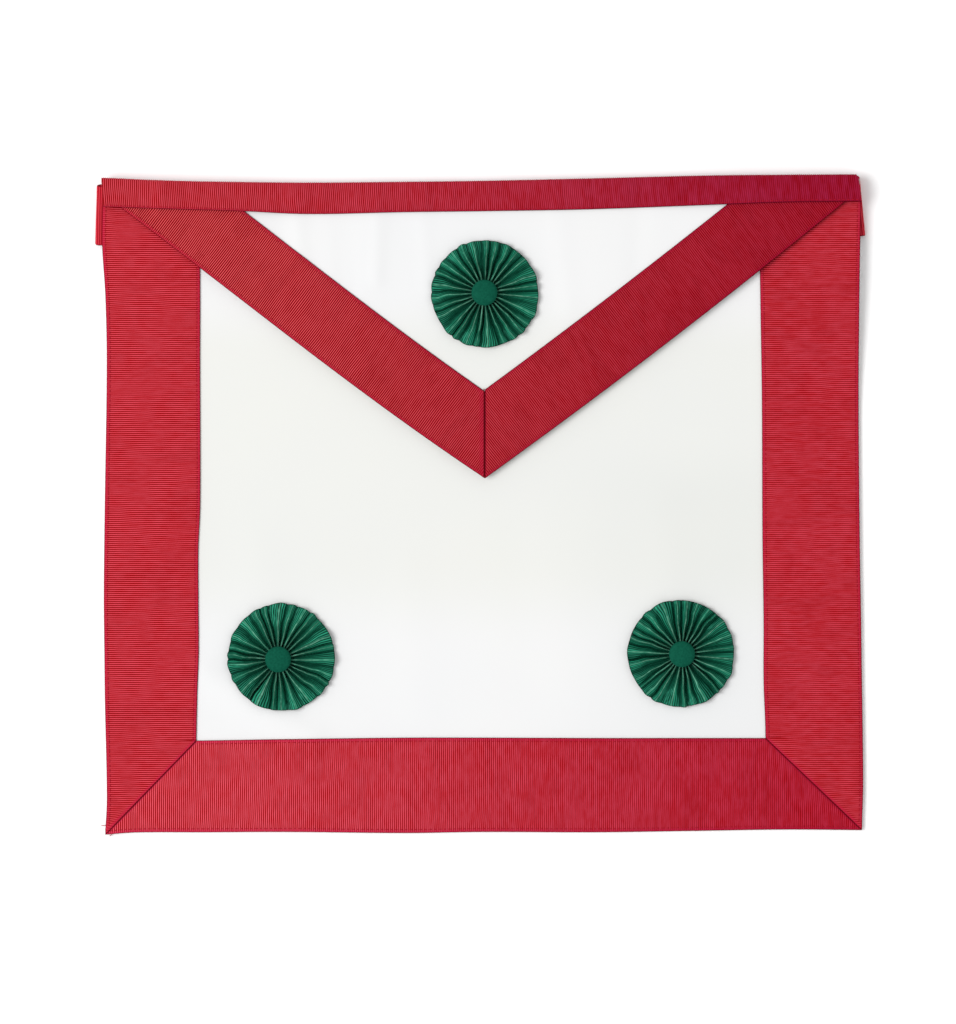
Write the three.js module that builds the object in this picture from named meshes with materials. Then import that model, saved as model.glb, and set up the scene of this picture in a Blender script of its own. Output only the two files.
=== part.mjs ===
// A masonic apron laid flat, front side up, its belt folded away behind it.
//
// A white panel carries a wide ribbon border on its two sides and its foot, mitred at the corners.
// A white triangular flap with its own mitred ribbon border hangs over it. A narrower ribbon is folded
// over the top edge and binds the panel and the flap together. Two belt halves leave the top corners,
// fold back behind the panel and meet in a plain two-slot clasp. Three pleated rosettes with covered
// buttons are sewn on the front.
//
// The plan is drawn in millimetres: x runs to the viewer's right from the apron's middle, y runs up
// from the foot and z stands up off the table. At the end the whole is moved so that the origin is
// under the middle of its box.
import * as THREE from "three";
import { mergeVertices } from "three/addons/utils/BufferGeometryUtils.js";

const { clamp, lerp, smoothstep, degToRad } = THREE.MathUtils;

// Overall sizes
const APRON_WIDTH = 406.4;
const APRON_HEIGHT = 351.4;
const BORDER_WIDTH = 50.8;
const BAND_DEPTH = 15.9;
const FLAP_DEPTH = 143.4;
const FLAP_RIBBON_WIDTH = 38.7;

// How the flap hangs: its top corners lie inside the apron's, its tip a little to one side of the
// middle, and its lower part stands off the panel. Its two long edges bow outwards, the left one most
// at two thirds of its length and the right one evenly.
const FLAP_INSET = 8.9;
const FLAP_LEAN = 1.4;
const FLAP_BOW = 2;
const FLAP_STANDOFF = 2.2;

// Wall thicknesses
const PANEL_WALL = 1.4;
const FLAP_WALL = 1;
const RIBBON_WALL = 1;
const BELT_WALL = 1;
const CLASP_WALL = 1.2;

// The air between two layers, and the slit between two mitred ribbons
const LAYER_GAP = 0.3;
const SEAM_GAP = 0.3;

// How far a panel stays inside the outer edge of the ribbon sewn over it, how far ribbons run up
// under the band, and how far the band's fold reaches past what it wraps
const PANEL_INSET = 0.8;
const TUCK = 5;
const FOLD_REACH = 2;

// Belt: what it measures, how much of it is sewn on behind a corner or turned back at the clasp, and
// how far below the apron's top the clasp lies
const BELT_WIDTH = 31.8;
const BELT_SEWN_LENGTH = 25;
const BELT_END_LENGTH = 20;
const CLASP_DROP = 23;
const CLASP_BAR = 3;
const CLASP_SLOT = 3.5;
const CLASP_MIDDLE = 6;
const CLASP_RIM = 2.2;
const CLASP_CLEARANCE = 0.5;
const SLOT_ROUNDING = 0.8;
const CLASP_ROUNDING = 2;

// Rosettes
const ROSETTE_RADIUS = 29;
const ROSETTE_INSET = 44.5;
const ROSETTE_HOLE_RADIUS = 3.5;
const PLEAT_DEPTH = 2.6;
const PLEAT_WALL = 1.2;
const RIM_RISE = 1.6;
const RIM_NOTCH = 0.5;
const BUTTON_RADIUS = 7;
const BUTTON_DOME = 2.8;
const BUTTON_EDGE = 0.6;
const SHANK_RADIUS = 1.6;

// Where the flap's rosette is, as a share of the depth of the white that shows on the flap
const FLAP_ROSETTE_SHARE = 0.466;

// The panel comes down to the table over this length, which starts this far below the clasp
const DRAPE_LENGTH = 90;
const DRAPE_MARGIN = 3;

// Where one layer climbs on to another: over what length, and how far before the other's edge the
// climb ends
const CORNER_CLIMB = 45;
const RIBBON_CLIMB = 40;
const CLIMB_MARGIN = 2;

// The apron's outline as it lies. Each row is a place along an edge, as a share of that edge, with how
// far the cloth lies outside the true rectangle, as a share of the apron's width, and how wide the
// ribbon shows there, as a share of its own width. Side rows run up, the others to the right.
const LEFT_EDGE = [
  { at: 0.0, out: -0.0015, wide: 0.96 },
  { at: 0.05, out: -0.0035, wide: 0.965 },
  { at: 0.2, out: -0.0009, wide: 0.983 },
  { at: 0.27, out: -0.0002, wide: 1.0 },
  { at: 0.35, out: 0.0005, wide: 0.997 },
  { at: 0.43, out: 0.0, wide: 0.996 },
  { at: 0.5, out: -0.0008, wide: 1.016 },
  { at: 0.72, out: -0.0035, wide: 1.015 },
  { at: 0.82, out: -0.0018, wide: 1.018 },
  { at: 0.9, out: 0.0024, wide: 1.014 },
  { at: 1.0, out: 0.0005, wide: 1.007 },
];
const RIGHT_EDGE = [
  { at: 0.0, out: 0.0018, wide: 1.0 },
  { at: 0.07, out: 0.0034, wide: 1.003 },
  { at: 0.16, out: 0.0028, wide: 1.008 },
  { at: 0.23, out: 0.0018, wide: 1.026 },
  { at: 0.32, out: 0.0008, wide: 1.026 },
  { at: 0.45, out: -0.0011, wide: 1.038 },
  { at: 0.66, out: -0.0026, wide: 1.044 },
  { at: 0.81, out: -0.002, wide: 1.062 },
  { at: 0.9, out: -0.0009, wide: 1.071 },
  { at: 1.0, out: 0.0005, wide: 1.065 },
];
const FOOT_EDGE = [
  { at: 0.0, out: 0.0051, wide: 0.95 },
  { at: 0.04, out: 0.0021, wide: 0.95 },
  { at: 0.13, out: 0.0018, wide: 0.956 },
  { at: 0.24, out: 0.0014, wide: 0.971 },
  { at: 0.4, out: 0.0028, wide: 0.986 },
  { at: 0.5, out: 0.0014, wide: 0.986 },
  { at: 0.65, out: 0.0018, wide: 0.982 },
  { at: 0.78, out: 0.0, wide: 0.982 },
  { at: 0.9, out: -0.0018, wide: 0.982 },
  { at: 1.0, out: -0.0011, wide: 0.982 },
];
const TOP_EDGE = [
  { at: 0.0, out: -0.0014, wide: 0.99 },
  { at: 0.09, out: -0.0052, wide: 0.97 },
  { at: 0.18, out: -0.0069, wide: 0.995 },
  { at: 0.27, out: -0.0077, wide: 1.07 },
  { at: 0.4, out: -0.0066, wide: 1.034 },
  { at: 0.5, out: -0.0053, wide: 1.036 },
  { at: 0.64, out: -0.0022, wide: 1.052 },
  { at: 0.8, out: 0.0017, wide: 1.004 },
  { at: 0.91, out: 0.0027, wide: 0.935 },
  { at: 1.0, out: 0.0032, wide: 0.925 },
];

// Soft swells of a sheet. Places and reaches are shares of the apron's width, heights shares of the
// panel's wall, and turns are in degrees.
const PANEL_SWELLS = [
  { name: "foot crease", x: 0.1, y: 0.08, long: 0.16, wide: 0.085, turn: -22, high: 0.3 },
  { name: "left corner crease", x: -0.28, y: 0.16, long: 0.18, wide: 0.085, turn: -20, high: 0.35 },
  { name: "right side", x: 0.43, y: 0.4, long: 0.2, wide: 0.1, turn: 84, high: 0.3 },
  { name: "left side", x: -0.44, y: 0.42, long: 0.2, wide: 0.1, turn: 92, high: 0.3 },
];
const FLAP_SWELLS = [
  { name: "outer flap fold", x: -0.18, y: 0.76, long: 0.13, wide: 0.08, turn: 86, high: 0.35 },
  { name: "inner flap fold", x: 0.14, y: 0.74, long: 0.12, wide: 0.09, turn: 96, high: 0.3 },
];

// The belt halves: how far the upper and the lower corner of the fold reach past the apron's side, how
// far below the apron's top the upper layer lies there, and how much higher the lower layer lies.
const BELT_FOLDS = [
  { name: "belt_left", side: -1, reachTop: 3.9, reachFoot: 4.8, drop: 5.4, skew: 1.7 },
  { name: "belt_right", side: 1, reachTop: -0.5, reachFoot: 2.5, drop: 0, skew: 0 },
];

// How far the band's fold and its lower edge reach past the apron's side
const BAND_LEFT_END = { top: 1.2, foot: 0.2 };
const BAND_RIGHT_END = { top: -1.3, foot: 0.3 };

// The rosettes. A lean is how far the button sits off the rim's middle, and an off how far the rosette
// sits off its place on the pattern, both as a share of the radius. A turn is in degrees.
const ROSETTES = [
  { name: "flap", pleats: 27, turn: 2, leanX: -0.01, leanY: 0.02, offX: 0, offY: 0 },
  { name: "left", side: -1, pleats: 26, turn: 5, leanX: -0.06, leanY: -0.04, offX: -0.001, offY: -0.016 },
  { name: "right", side: 1, pleats: 27, turn: 0, leanX: 0.02, leanY: -0.01, offX: 0.003, offY: 0.031 },
];

// A rosette from its hole to its rim: place as a share of the way out, ridge height as a share of
// PLEAT_DEPTH, wall as a share of PLEAT_WALL, and rise off the cloth as a share of RIM_RISE.
const PLEAT_RINGS = [
  { out: 0.0, ridge: 0.35, wall: 1, rise: 0 },
  { out: 0.14, ridge: 0.5, wall: 1, rise: 0 },
  { out: 0.27, ridge: 1, wall: 1, rise: 0.1 },
  { out: 0.5, ridge: 0.85, wall: 1, rise: 0.4 },
  { out: 0.75, ridge: 0.6, wall: 1, rise: 0.8 },
  { out: 1.0, ridge: 0.35, wall: 0.85, rise: 1 },
];
const RING_UNDER_BUTTON = PLEAT_RINGS[1];

// How finely the sheets are divided
const PANEL_STEPS = { across: 24, up: 22 };
const BORDER_STEPS = { mitre: 3, side: 16, foot: 18, across: 3 };
const FLAP_STEPS = { across: 24, down: 14 };
const FLAP_RIBBON_STEPS = { head: 3, run: 10, mitre: 3, across: 3 };
const BAND_STEPS = 26;
const FOLD_ARC_STEPS = 6;
const BELT_RUN_STEPS = 6;
const BUTTON_STEPS = 18;

const MATERIALS = {
  white_leather: { color: 0xf4f3f2, roughness: 0.6, metalness: 0 },
  red_ribbon: { color: 0xbe2d3a, roughness: 0.72, metalness: 0 },
  red_belt: { color: 0xb02a37, roughness: 0.78, metalness: 0 },
  green_ribbon: { color: 0x1a5a42, roughness: 0.5, metalness: 0 },
  green_button: { color: 0x0e5542, roughness: 0.8, metalness: 0 },
  clasp_metal: { color: 0xb9b8b4, roughness: 0.3, metalness: 1 },
};

const shares = (steps) => Array.from({ length: steps + 1 }, (_, i) => i / steps);
const point = (x, y, z) => new THREE.Vector3(x, y, z);
const raised = (p, height) => point(p.x, p.y, p.z + height);

// A column of a table, read smoothly at any place between its first and last row.
function read(rows, column, at) {
  const last = rows.length - 1;
  const slope = (i) => {
    const before = rows[Math.max(i - 1, 0)];
    const after = rows[Math.min(i + 1, last)];
    return (after[column] - before[column]) / (after.at - before.at);
  };
  let i = 0;
  while (i < last - 1 && rows[i + 1].at < at) i++;
  const [a, b] = [rows[i], rows[i + 1]];
  const span = b.at - a.at;
  const t = clamp((at - a.at) / span, 0, 1);
  const start = (1 + 2 * t) * (1 - t) ** 2 * a[column] + t * (1 - t) ** 2 * span * slope(i);
  const end = (3 - 2 * t) * t ** 2 * b[column] - (1 - t) * t ** 2 * span * slope(i + 1);
  return start + end;
}

// The plan: where each edge lies.
const halfWidth = APRON_WIDTH / 2;
const acrossShare = (x) => x / APRON_WIDTH + 0.5;
const upShare = (y) => y / APRON_HEIGHT;
const leftEdge = (y) => -halfWidth - APRON_WIDTH * read(LEFT_EDGE, "out", upShare(y));
const rightEdge = (y) => halfWidth + APRON_WIDTH * read(RIGHT_EDGE, "out", upShare(y));
const footEdge = (x) => -APRON_WIDTH * read(FOOT_EDGE, "out", acrossShare(x));
const topEdge = (x) => APRON_HEIGHT + APRON_WIDTH * read(TOP_EDGE, "out", acrossShare(x));
const leftInner = (y) => -halfWidth + BORDER_WIDTH * read(LEFT_EDGE, "wide", upShare(y));
const rightInner = (y) => halfWidth - BORDER_WIDTH * read(RIGHT_EDGE, "wide", upShare(y));
const footInner = (x) => BORDER_WIDTH * read(FOOT_EDGE, "wide", acrossShare(x));
const bandFoot = (x) => topEdge(x) - BAND_DEPTH * read(TOP_EDGE, "wide", acrossShare(x));
const tuckLine = (x) => bandFoot(x) + TUCK;
const bandMiddleFoot = bandFoot(0);

const sideOf = (side) =>
  side < 0 ? { edge: leftEdge, inner: leftInner } : { edge: rightEdge, inner: rightInner };

// The flap's outline: its tip, and where its long edges meet the band.
const flapTip = { x: FLAP_LEAN, y: bandMiddleFoot - FLAP_DEPTH };
function flapEdge(side) {
  const atBand = side * (halfWidth - FLAP_INSET);
  const slope = (bandFoot(atBand) - flapTip.y) / Math.abs(atBand - flapTip.x);
  const angle = Math.atan(slope);
  const head = { x: atBand + (side * TUCK) / slope, y: tuckLine(atBand) };
  const inward = { x: -side * Math.sin(angle), y: Math.cos(angle) };
  const place = (s, inset = 0) => {
    const bowed = side < 0 ? 6.75 * s ** 2 * (1 - s) : 4 * s * (1 - s);
    const bow = FLAP_BOW * bowed - inset;
    return {
      x: lerp(head.x, flapTip.x, s) - inward.x * bow,
      y: lerp(head.y, flapTip.y, s) - inward.y * bow,
    };
  };
  const innerAtBand = Math.abs(atBand) - FLAP_RIBBON_WIDTH / Math.sin(angle);
  return { side, inward, head, place, innerAtBand };
}
const flapLeft = flapEdge(-1);
const flapRight = flapEdge(1);

// A soft-edged oval swell of height 1, flat outside its reach.
function swell(row, x, y) {
  const turn = degToRad(row.turn);
  const dx = x - row.x * APRON_WIDTH;
  const dy = y - row.y * APRON_WIDTH;
  const along = (dx * Math.cos(turn) + dy * Math.sin(turn)) / (row.long * APRON_WIDTH);
  const across = (dy * Math.cos(turn) - dx * Math.sin(turn)) / (row.wide * APRON_WIDTH);
  return Math.max(0, 1 - along ** 2 - across ** 2) ** 2;
}
const swells = (rows, x, y) =>
  rows.reduce((sum, row) => sum + row.high * PANEL_WALL * swell(row, x, y), 0);

// The belt and its clasp lie on the table and hold the apron's top edge up.
const claspY = APRON_HEIGHT - CLASP_DROP;
const slotHalfHeight = BELT_WIDTH / 2 + CLASP_CLEARANCE;
const claspHalfHeight = slotHalfHeight + CLASP_RIM;
const barInner = CLASP_MIDDLE / 2 + CLASP_SLOT;
const barOuter = barInner + CLASP_BAR;
const claspUnder = BELT_WALL + LAYER_GAP;
const beltLow = BELT_WALL / 2;
const beltHigh = claspUnder + CLASP_WALL + LAYER_GAP + BELT_WALL / 2;
const bandUnder = beltHigh + BELT_WALL / 2 + LAYER_GAP;
const topLift = bandUnder + RIBBON_WALL + LAYER_GAP;
const propFoot = claspY - claspHalfHeight - DRAPE_MARGIN;

// Heights of the layers above the table.
const panelUnder = (x, y) =>
  topLift * smoothstep(y, propFoot - DRAPE_LENGTH, propFoot) + swells(PANEL_SWELLS, x, y);
const panelTop = (x, y) => panelUnder(x, y) + PANEL_WALL;
const borderUnder = (x, y) => panelTop(x, y) + LAYER_GAP;

const ribbonStep = RIBBON_WALL + LAYER_GAP;
const climbEnd = Math.min(-leftInner(APRON_HEIGHT), rightInner(APRON_HEIGHT)) - CLIMB_MARGIN;
function flapUnder(x, y) {
  const corner = ribbonStep * smoothstep(Math.abs(x), climbEnd - CORNER_CLIMB, climbEnd);
  const standoff = FLAP_STANDOFF * smoothstep(bandMiddleFoot - y, 0, FLAP_DEPTH / 2);
  return borderUnder(x, y) + corner + standoff + swells(FLAP_SWELLS, x, y);
}
const flapTop = (x, y) => flapUnder(x, y) + FLAP_WALL;
const flapRibbonUnder = (x, y) => flapTop(x, y) + LAYER_GAP;

// A closed wall between a grid of front points and a grid of back points. Where a row shrinks to a
// point, the flat triangles that are left are dropped. A ring joins its last row to its first.
function closedWall(front, back, ring = false) {
  const rows = front.length;
  const columns = front[0].length;
  const f = (i, j) => (i % rows) * columns + j;
  const b = (i, j) => rows * columns + f(i, j);
  const index = [];
  const quad = (p, q, r, s) => index.push(p, q, r, p, r, s);
  const last = columns - 1;
  for (let i = 0; i < (ring ? rows : rows - 1); i++) {
    for (let j = 0; j < last; j++) {
      quad(f(i, j), f(i + 1, j), f(i + 1, j + 1), f(i, j + 1));
      quad(b(i, j), b(i, j + 1), b(i + 1, j + 1), b(i + 1, j));
    }
    quad(f(i, 0), b(i, 0), b(i + 1, 0), f(i + 1, 0));
    quad(f(i, last), f(i + 1, last), b(i + 1, last), b(i, last));
  }
  const end = rows - 1;
  for (let j = 0; j < last && !ring; j++) {
    quad(f(0, j), f(0, j + 1), b(0, j + 1), b(0, j));
    quad(f(end, j), b(end, j), b(end, j + 1), f(end, j + 1));
  }
  const corners = [...front.flat(), ...back.flat()].flatMap((c) => [c.x, c.y, c.z]);
  const loose = new THREE.BufferGeometry()
    .setAttribute("position", new THREE.Float32BufferAttribute(corners, 3))
    .setIndex(index);
  const merged = mergeVertices(loose, 1e-3);
  const faces = trianglesOf(merged).filter(([a, b, c]) => a !== b && b !== c && c !== a);
  return merged.setIndex(facingOut(merged, faces).flat());
}

function trianglesOf(geometry) {
  const list = [];
  for (let i = 0; i < geometry.index.count; i += 3) {
    list.push([0, 1, 2].map((k) => geometry.index.getX(i + k)));
  }
  return list;
}

function facingOut(geometry, faces) {
  const corner = (i) => new THREE.Vector3().fromBufferAttribute(geometry.attributes.position, i);
  const volume = faces.reduce((sum, [a, b, c]) => sum + corner(a).cross(corner(b)).dot(corner(c)), 0);
  return volume < 0 ? faces.map(([a, b, c]) => [a, c, b]) : faces;
}

function named(name, slot, geometry) {
  geometry.computeVertexNormals();
  const mesh = new THREE.Mesh(geometry, new THREE.MeshStandardMaterial(MATERIALS[slot]));
  mesh.name = name;
  return mesh;
}

// A sheet of even thickness over a grid of places on the plan.
function sheet(name, slot, places, under, thickness) {
  const back = places.map((row) => row.map(([x, y]) => point(x, y, under(x, y))));
  const front = back.map((row) => row.map((p) => raised(p, thickness)));
  return named(name, slot, closedWall(front, back));
}

// Shares from 0 to 1 through the given breaks, with the given number of steps in each stretch.
function brokenShares(breaks, steps) {
  const ends = [0, ...breaks, 1];
  const stretches = steps.map((count, k) => shares(count).map((t) => lerp(ends[k], ends[k + 1], t)));
  return stretches.flatMap((stretch, k) => (k === 0 ? stretch : stretch.slice(1)));
}

function bodyPanel() {
  const places = shares(PANEL_STEPS.across).map((u) =>
    shares(PANEL_STEPS.up).map((v) => {
      const x = (u - 0.5) * APRON_WIDTH;
      const y = lerp(footEdge(x) + PANEL_INSET, topEdge(x) - FOLD_REACH - LAYER_GAP, v);
      return [lerp(leftEdge(y) + PANEL_INSET, rightEdge(y) - PANEL_INSET, u), y];
    }),
  );
  return sheet("body_panel", "white_leather", places, panelUnder, PANEL_WALL);
}

// The two ends of a mitre: the apron's corner, and where the ribbons' inner edges meet.
function mitre(side) {
  const { edge, inner } = sideOf(side);
  const outer = { x: edge(0), y: footEdge(edge(0)) };
  const innerX = inner(BORDER_WIDTH);
  return { outer, inner: { x: innerX, y: footInner(innerX) } };
}

// A side ribbon, in rows that run across it. Below the mitre's inner end the rows stop at the mitre.
function sideBorder(name, side) {
  const { edge, inner } = sideOf(side);
  const corner = mitre(side);
  const low = corner.outer.y + SEAM_GAP;
  const high = tuckLine(corner.outer.x);
  const turn = (corner.inner.y + SEAM_GAP - low) / (high - low);
  const places = brokenShares([turn], [BORDER_STEPS.mitre, BORDER_STEPS.side]).map((v) => {
    const y = lerp(low, high, v);
    const stop = v < turn ? lerp(edge(low), corner.inner.x, v / turn) : inner(y);
    return shares(BORDER_STEPS.across).map((u) => [lerp(edge(y), stop, u), y]);
  });
  return sheet(name, "red_ribbon", places, borderUnder, RIBBON_WALL);
}

// The foot ribbon, in rows that run up it. Towards its ends the rows stop at the mitres.
function footBorder() {
  const [left, right] = [mitre(-1), mitre(1)];
  const from = left.outer.x + SEAM_GAP;
  const to = right.outer.x - SEAM_GAP;
  const breaks = [left, right].map((corner) => (corner.inner.x - from) / (to - from));
  const steps = [BORDER_STEPS.mitre, BORDER_STEPS.foot, BORDER_STEPS.mitre];
  const places = brokenShares(breaks, steps).map((u) => {
    const x = lerp(from, to, u);
    const low = footEdge(x);
    const [end, climb] = u < 0.5 ? [left, u / breaks[0]] : [right, (1 - u) / (1 - breaks[1])];
    const endFoot = footEdge(u < 0.5 ? from : to);
    const high = climb < 1 ? lerp(endFoot, end.inner.y, climb) : footInner(x);
    return shares(BORDER_STEPS.across).map((v) => [x, lerp(low, high, v)]);
  });
  return sheet("border_bottom", "red_ribbon", places, borderUnder, RIBBON_WALL);
}

// The flap narrows down to its tip. Its rows follow the tuck line at the top and straighten below.
function flapPanel() {
  const tip = [flapTip.x, flapTip.y + PANEL_INSET / flapLeft.inward.y];
  const places = shares(FLAP_STEPS.across).map((u) =>
    shares(FLAP_STEPS.down).map((s) => {
      if (s === 1) return tip;
      const [a, b] = [flapLeft.place(s, PANEL_INSET), flapRight.place(s, PANEL_INSET)];
      const x = lerp(a.x, b.x, u);
      const wave = tuckLine(x) - lerp(tuckLine(a.x), tuckLine(b.x), u);
      return [x, lerp(a.y, b.y, u) + (1 - s) ** 2 * wave];
    }),
  );
  return sheet("flap_panel", "white_leather", places, flapUnder, FLAP_WALL);
}

// A flap ribbon, in rows that run across it from its outer edge. Each stops at the tuck line, at the
// ribbon's width or at the seam under the inner corner, whichever comes first. The row that meets
// the seam at full width is found by halving.
function flapBorder(name, edge) {
  const { side, head, inward } = edge;
  const seamX = flapTip.x + (side * SEAM_GAP) / 2;
  const reach = Math.abs(head.x - seamX);
  const headEnd = (FLAP_RIBBON_WIDTH * inward.y) / (head.y - flapTip.y);
  const seamEnd = 1 - SEAM_GAP / reach;
  const toSeam = (share) => (side * (edge.place(share * seamEnd).x - seamX)) / Math.abs(inward.x);
  let [before, after] = [0.5, 1];
  for (let step = 0; step < 20; step++) {
    const half = (before + after) / 2;
    if (toSeam(half) > FLAP_RIBBON_WIDTH) before = half;
    else after = half;
  }
  const steps = [FLAP_RIBBON_STEPS.head, FLAP_RIBBON_STEPS.run, FLAP_RIBBON_STEPS.mitre];
  const places = brokenShares([headEnd, before], steps).map((share) => {
    const p = edge.place(share * seamEnd);
    const toTuck = (head.y - p.y) / inward.y;
    const width = clamp(Math.min(toSeam(share), toTuck), 0, FLAP_RIBBON_WIDTH);
    return shares(FLAP_RIBBON_STEPS.across).map((t) => [
      p.x + inward.x * width * t,
      p.y + inward.y * width * t,
    ]);
  });
  return sheet(name, "red_ribbon", places, flapRibbonUnder, RIBBON_WALL);
}

// The ribbon folded over the top edge. At each station across the apron its outer and inner surfaces
// run up the front, round the fold and down the back.
function topBand() {
  const ribbonFrom = Math.min(flapLeft.innerAtBand, flapRight.innerAtBand) - CLIMB_MARGIN;
  const onRibbon = (x) => smoothstep(Math.abs(x), ribbonFrom - RIBBON_CLIMB, ribbonFrom);
  const endX = (row, u) => lerp(-halfWidth - BAND_LEFT_END[row], halfWidth + BAND_RIGHT_END[row], u);
  const surface = (u, depth) => {
    const [xTop, xFoot] = [endX("top", u), endX("foot", u)];
    const foldY = topEdge(xTop) - FOLD_REACH;
    const footY = bandFoot(xFoot);
    const stack = flapRibbonUnder(xFoot, bandMiddleFoot) + ribbonStep * onRibbon(xFoot);
    const front = stack + RIBBON_WALL - depth;
    const back = bandUnder + depth;
    const wall = (t, z) => point(lerp(xFoot, xTop, t), lerp(footY, foldY, t), z);
    const arc = shares(FOLD_ARC_STEPS).map((t) => {
      const angle = Math.PI * (0.5 - t);
      const y = foldY + (FOLD_REACH - depth) * Math.cos(angle);
      return point(xTop, y, (front + back) / 2 + ((front - back) / 2) * Math.sin(angle));
    });
    return [wall(0, front), wall(0.5, front), ...arc, wall(0.5, back), wall(0, back)];
  };
  const outer = shares(BAND_STEPS).map((u) => surface(u, 0));
  const inner = shares(BAND_STEPS).map((u) => surface(u, RIBBON_WALL));
  return named("top_band", "red_ribbon", closedWall(outer, inner));
}

// The middle line of a belt half, from the end sewn behind the corner, round its fold, along the table
// and round the clasp's outer bar to its turned-back end. It is seen from the side: how far out from
// the apron's middle, and how high.
function beltLine(foldReach) {
  const radius = (beltHigh - beltLow) / 2;
  const halfTurn = (out, way) =>
    shares(FOLD_ARC_STEPS).map((t) => {
      const angle = Math.PI * (0.5 - t);
      return [out + way * radius * Math.cos(angle), beltLow + radius + way * radius * Math.sin(angle)];
    });
  const foldAt = foldReach - BELT_WALL / 2 - radius;
  const run = shares(BELT_RUN_STEPS).slice(1, -1);
  const endHeight = beltLow + BELT_WALL + LAYER_GAP;
  const offBar = barOuter + LAYER_GAP;
  return [
    [foldAt - BELT_SEWN_LENGTH, beltHigh],
    ...halfTurn(foldAt, 1),
    ...run.map((t) => [lerp(foldAt, barInner, t), beltLow]),
    ...halfTurn(barInner, -1),
    [offBar, beltHigh],
    [offBar + 2 * radius, endHeight],
    [barOuter + BELT_END_LENGTH, endHeight],
  ];
}

function belt({ name, side, reachTop, reachFoot, drop, skew }) {
  const foldY = APRON_HEIGHT - drop - BELT_WIDTH / 2;
  const surface = (across, offset) => {
    const line = beltLine(halfWidth + lerp(reachTop, reachFoot, across));
    return line.map(([out, z], i) => {
      const [beforeOut, beforeZ] = line[Math.max(i - 1, 0)];
      const [afterOut, afterZ] = line[Math.min(i + 1, line.length - 1)];
      const along = new THREE.Vector2(afterOut - beforeOut, afterZ - beforeZ).normalize();
      const lower = (beltHigh - z) / (beltHigh - beltLow);
      const middleY = lerp(claspY, foldY + skew * lower, out / halfWidth);
      const y = middleY + (0.5 - across) * BELT_WIDTH;
      return point(side * (out - along.y * offset), y, z + along.x * offset);
    });
  };
  const outer = shares(2).map((across) => surface(across, BELT_WALL / 2));
  const inner = shares(2).map((across) => surface(across, -BELT_WALL / 2));
  return named(name, "red_belt", closedWall(outer, inner));
}

// An upright rectangle with rounded corners, as a shape or as a hole in one.
function roundedRectangle(outline, left, right, halfHeight, radius) {
  const quarter = Math.PI / 2;
  const corners = [
    [right - radius, -halfHeight + radius, 3],
    [right - radius, halfHeight - radius, 0],
    [left + radius, halfHeight - radius, 1],
    [left + radius, -halfHeight + radius, 2],
  ];
  for (const [x, y, turns] of corners) {
    outline.absarc(x, y, radius, turns * quarter, (turns + 1) * quarter);
  }
  return outline;
}

// A plain plate with a slot at each side for a belt half.
function clasp() {
  const plate = roundedRectangle(new THREE.Shape(), -barOuter, barOuter, claspHalfHeight, CLASP_ROUNDING);
  const slotInner = CLASP_MIDDLE / 2;
  plate.holes = [
    roundedRectangle(new THREE.Path(), -barInner, -slotInner, slotHalfHeight, SLOT_ROUNDING),
    roundedRectangle(new THREE.Path(), slotInner, barInner, slotHalfHeight, SLOT_ROUNDING),
  ];
  const options = { depth: CLASP_WALL, bevelEnabled: false, curveSegments: 3 };
  const mesh = named("belt_clasp", "clasp_metal", new THREE.ExtrudeGeometry(plate, options));
  mesh.position.set(0, claspY, claspUnder);
  return mesh;
}

// A pleated disc with a hole for the button's shank. Ridges and valleys take turns round it, and its
// rings lean from the rim's middle towards the button's.
function pleats({ name, pleats: count, turn, leanX, leanY }, surface) {
  const line = (i, ring) => {
    const angle = degToRad(turn) + (Math.PI * i) / count;
    const onRidge = i % 2 === 0;
    const notch = onRidge ? 0 : RIM_NOTCH * ring.out;
    const radius = lerp(ROSETTE_HOLE_RADIUS, ROSETTE_RADIUS, ring.out) - notch;
    const lean = ROSETTE_RADIUS * (1 - ring.out);
    const x = leanX * lean + radius * Math.cos(angle);
    const y = leanY * lean + radius * Math.sin(angle);
    const low = point(x, y, surface(x, y) + LAYER_GAP + ring.rise * RIM_RISE);
    const ridge = onRidge ? ring.ridge * PLEAT_DEPTH : 0;
    return { low, high: raised(low, ring.wall * PLEAT_WALL + ridge) };
  };
  const lines = Array.from({ length: 2 * count }, (_, i) => PLEAT_RINGS.map((ring) => line(i, ring)));
  const front = lines.map((row) => row.map(({ high }) => high));
  const back = lines.map((row) => row.map(({ low }) => low));
  return named(`rosette_${name}_pleats`, "green_ribbon", closedWall(front, back, true));
}

// A covered button with a short shank, turned about its axis.
function button({ name, leanX, leanY }) {
  const pleatTop = RING_UNDER_BUTTON.wall * PLEAT_WALL + RING_UNDER_BUTTON.ridge * PLEAT_DEPTH;
  const seat = pleatTop + 2 * LAYER_GAP;
  const dome = shares(5).map((t) => {
    const angle = (t * Math.PI) / 2;
    const radius = t === 1 ? 0 : BUTTON_RADIUS * Math.cos(angle);
    return new THREE.Vector2(radius, seat + lerp(BUTTON_EDGE, BUTTON_DOME, Math.sin(angle)));
  });
  const profile = [
    new THREE.Vector2(0, LAYER_GAP),
    new THREE.Vector2(SHANK_RADIUS, LAYER_GAP),
    new THREE.Vector2(SHANK_RADIUS, seat),
    new THREE.Vector2(BUTTON_RADIUS - BUTTON_EDGE / 2, seat),
    ...dome,
  ];
  const geometry = new THREE.LatheGeometry(profile, BUTTON_STEPS).rotateX(Math.PI / 2);
  const mesh = named(`rosette_${name}_button`, "green_button", geometry);
  mesh.position.set(leanX * ROSETTE_RADIUS, leanY * ROSETTE_RADIUS, 0);
  return mesh;
}

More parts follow.
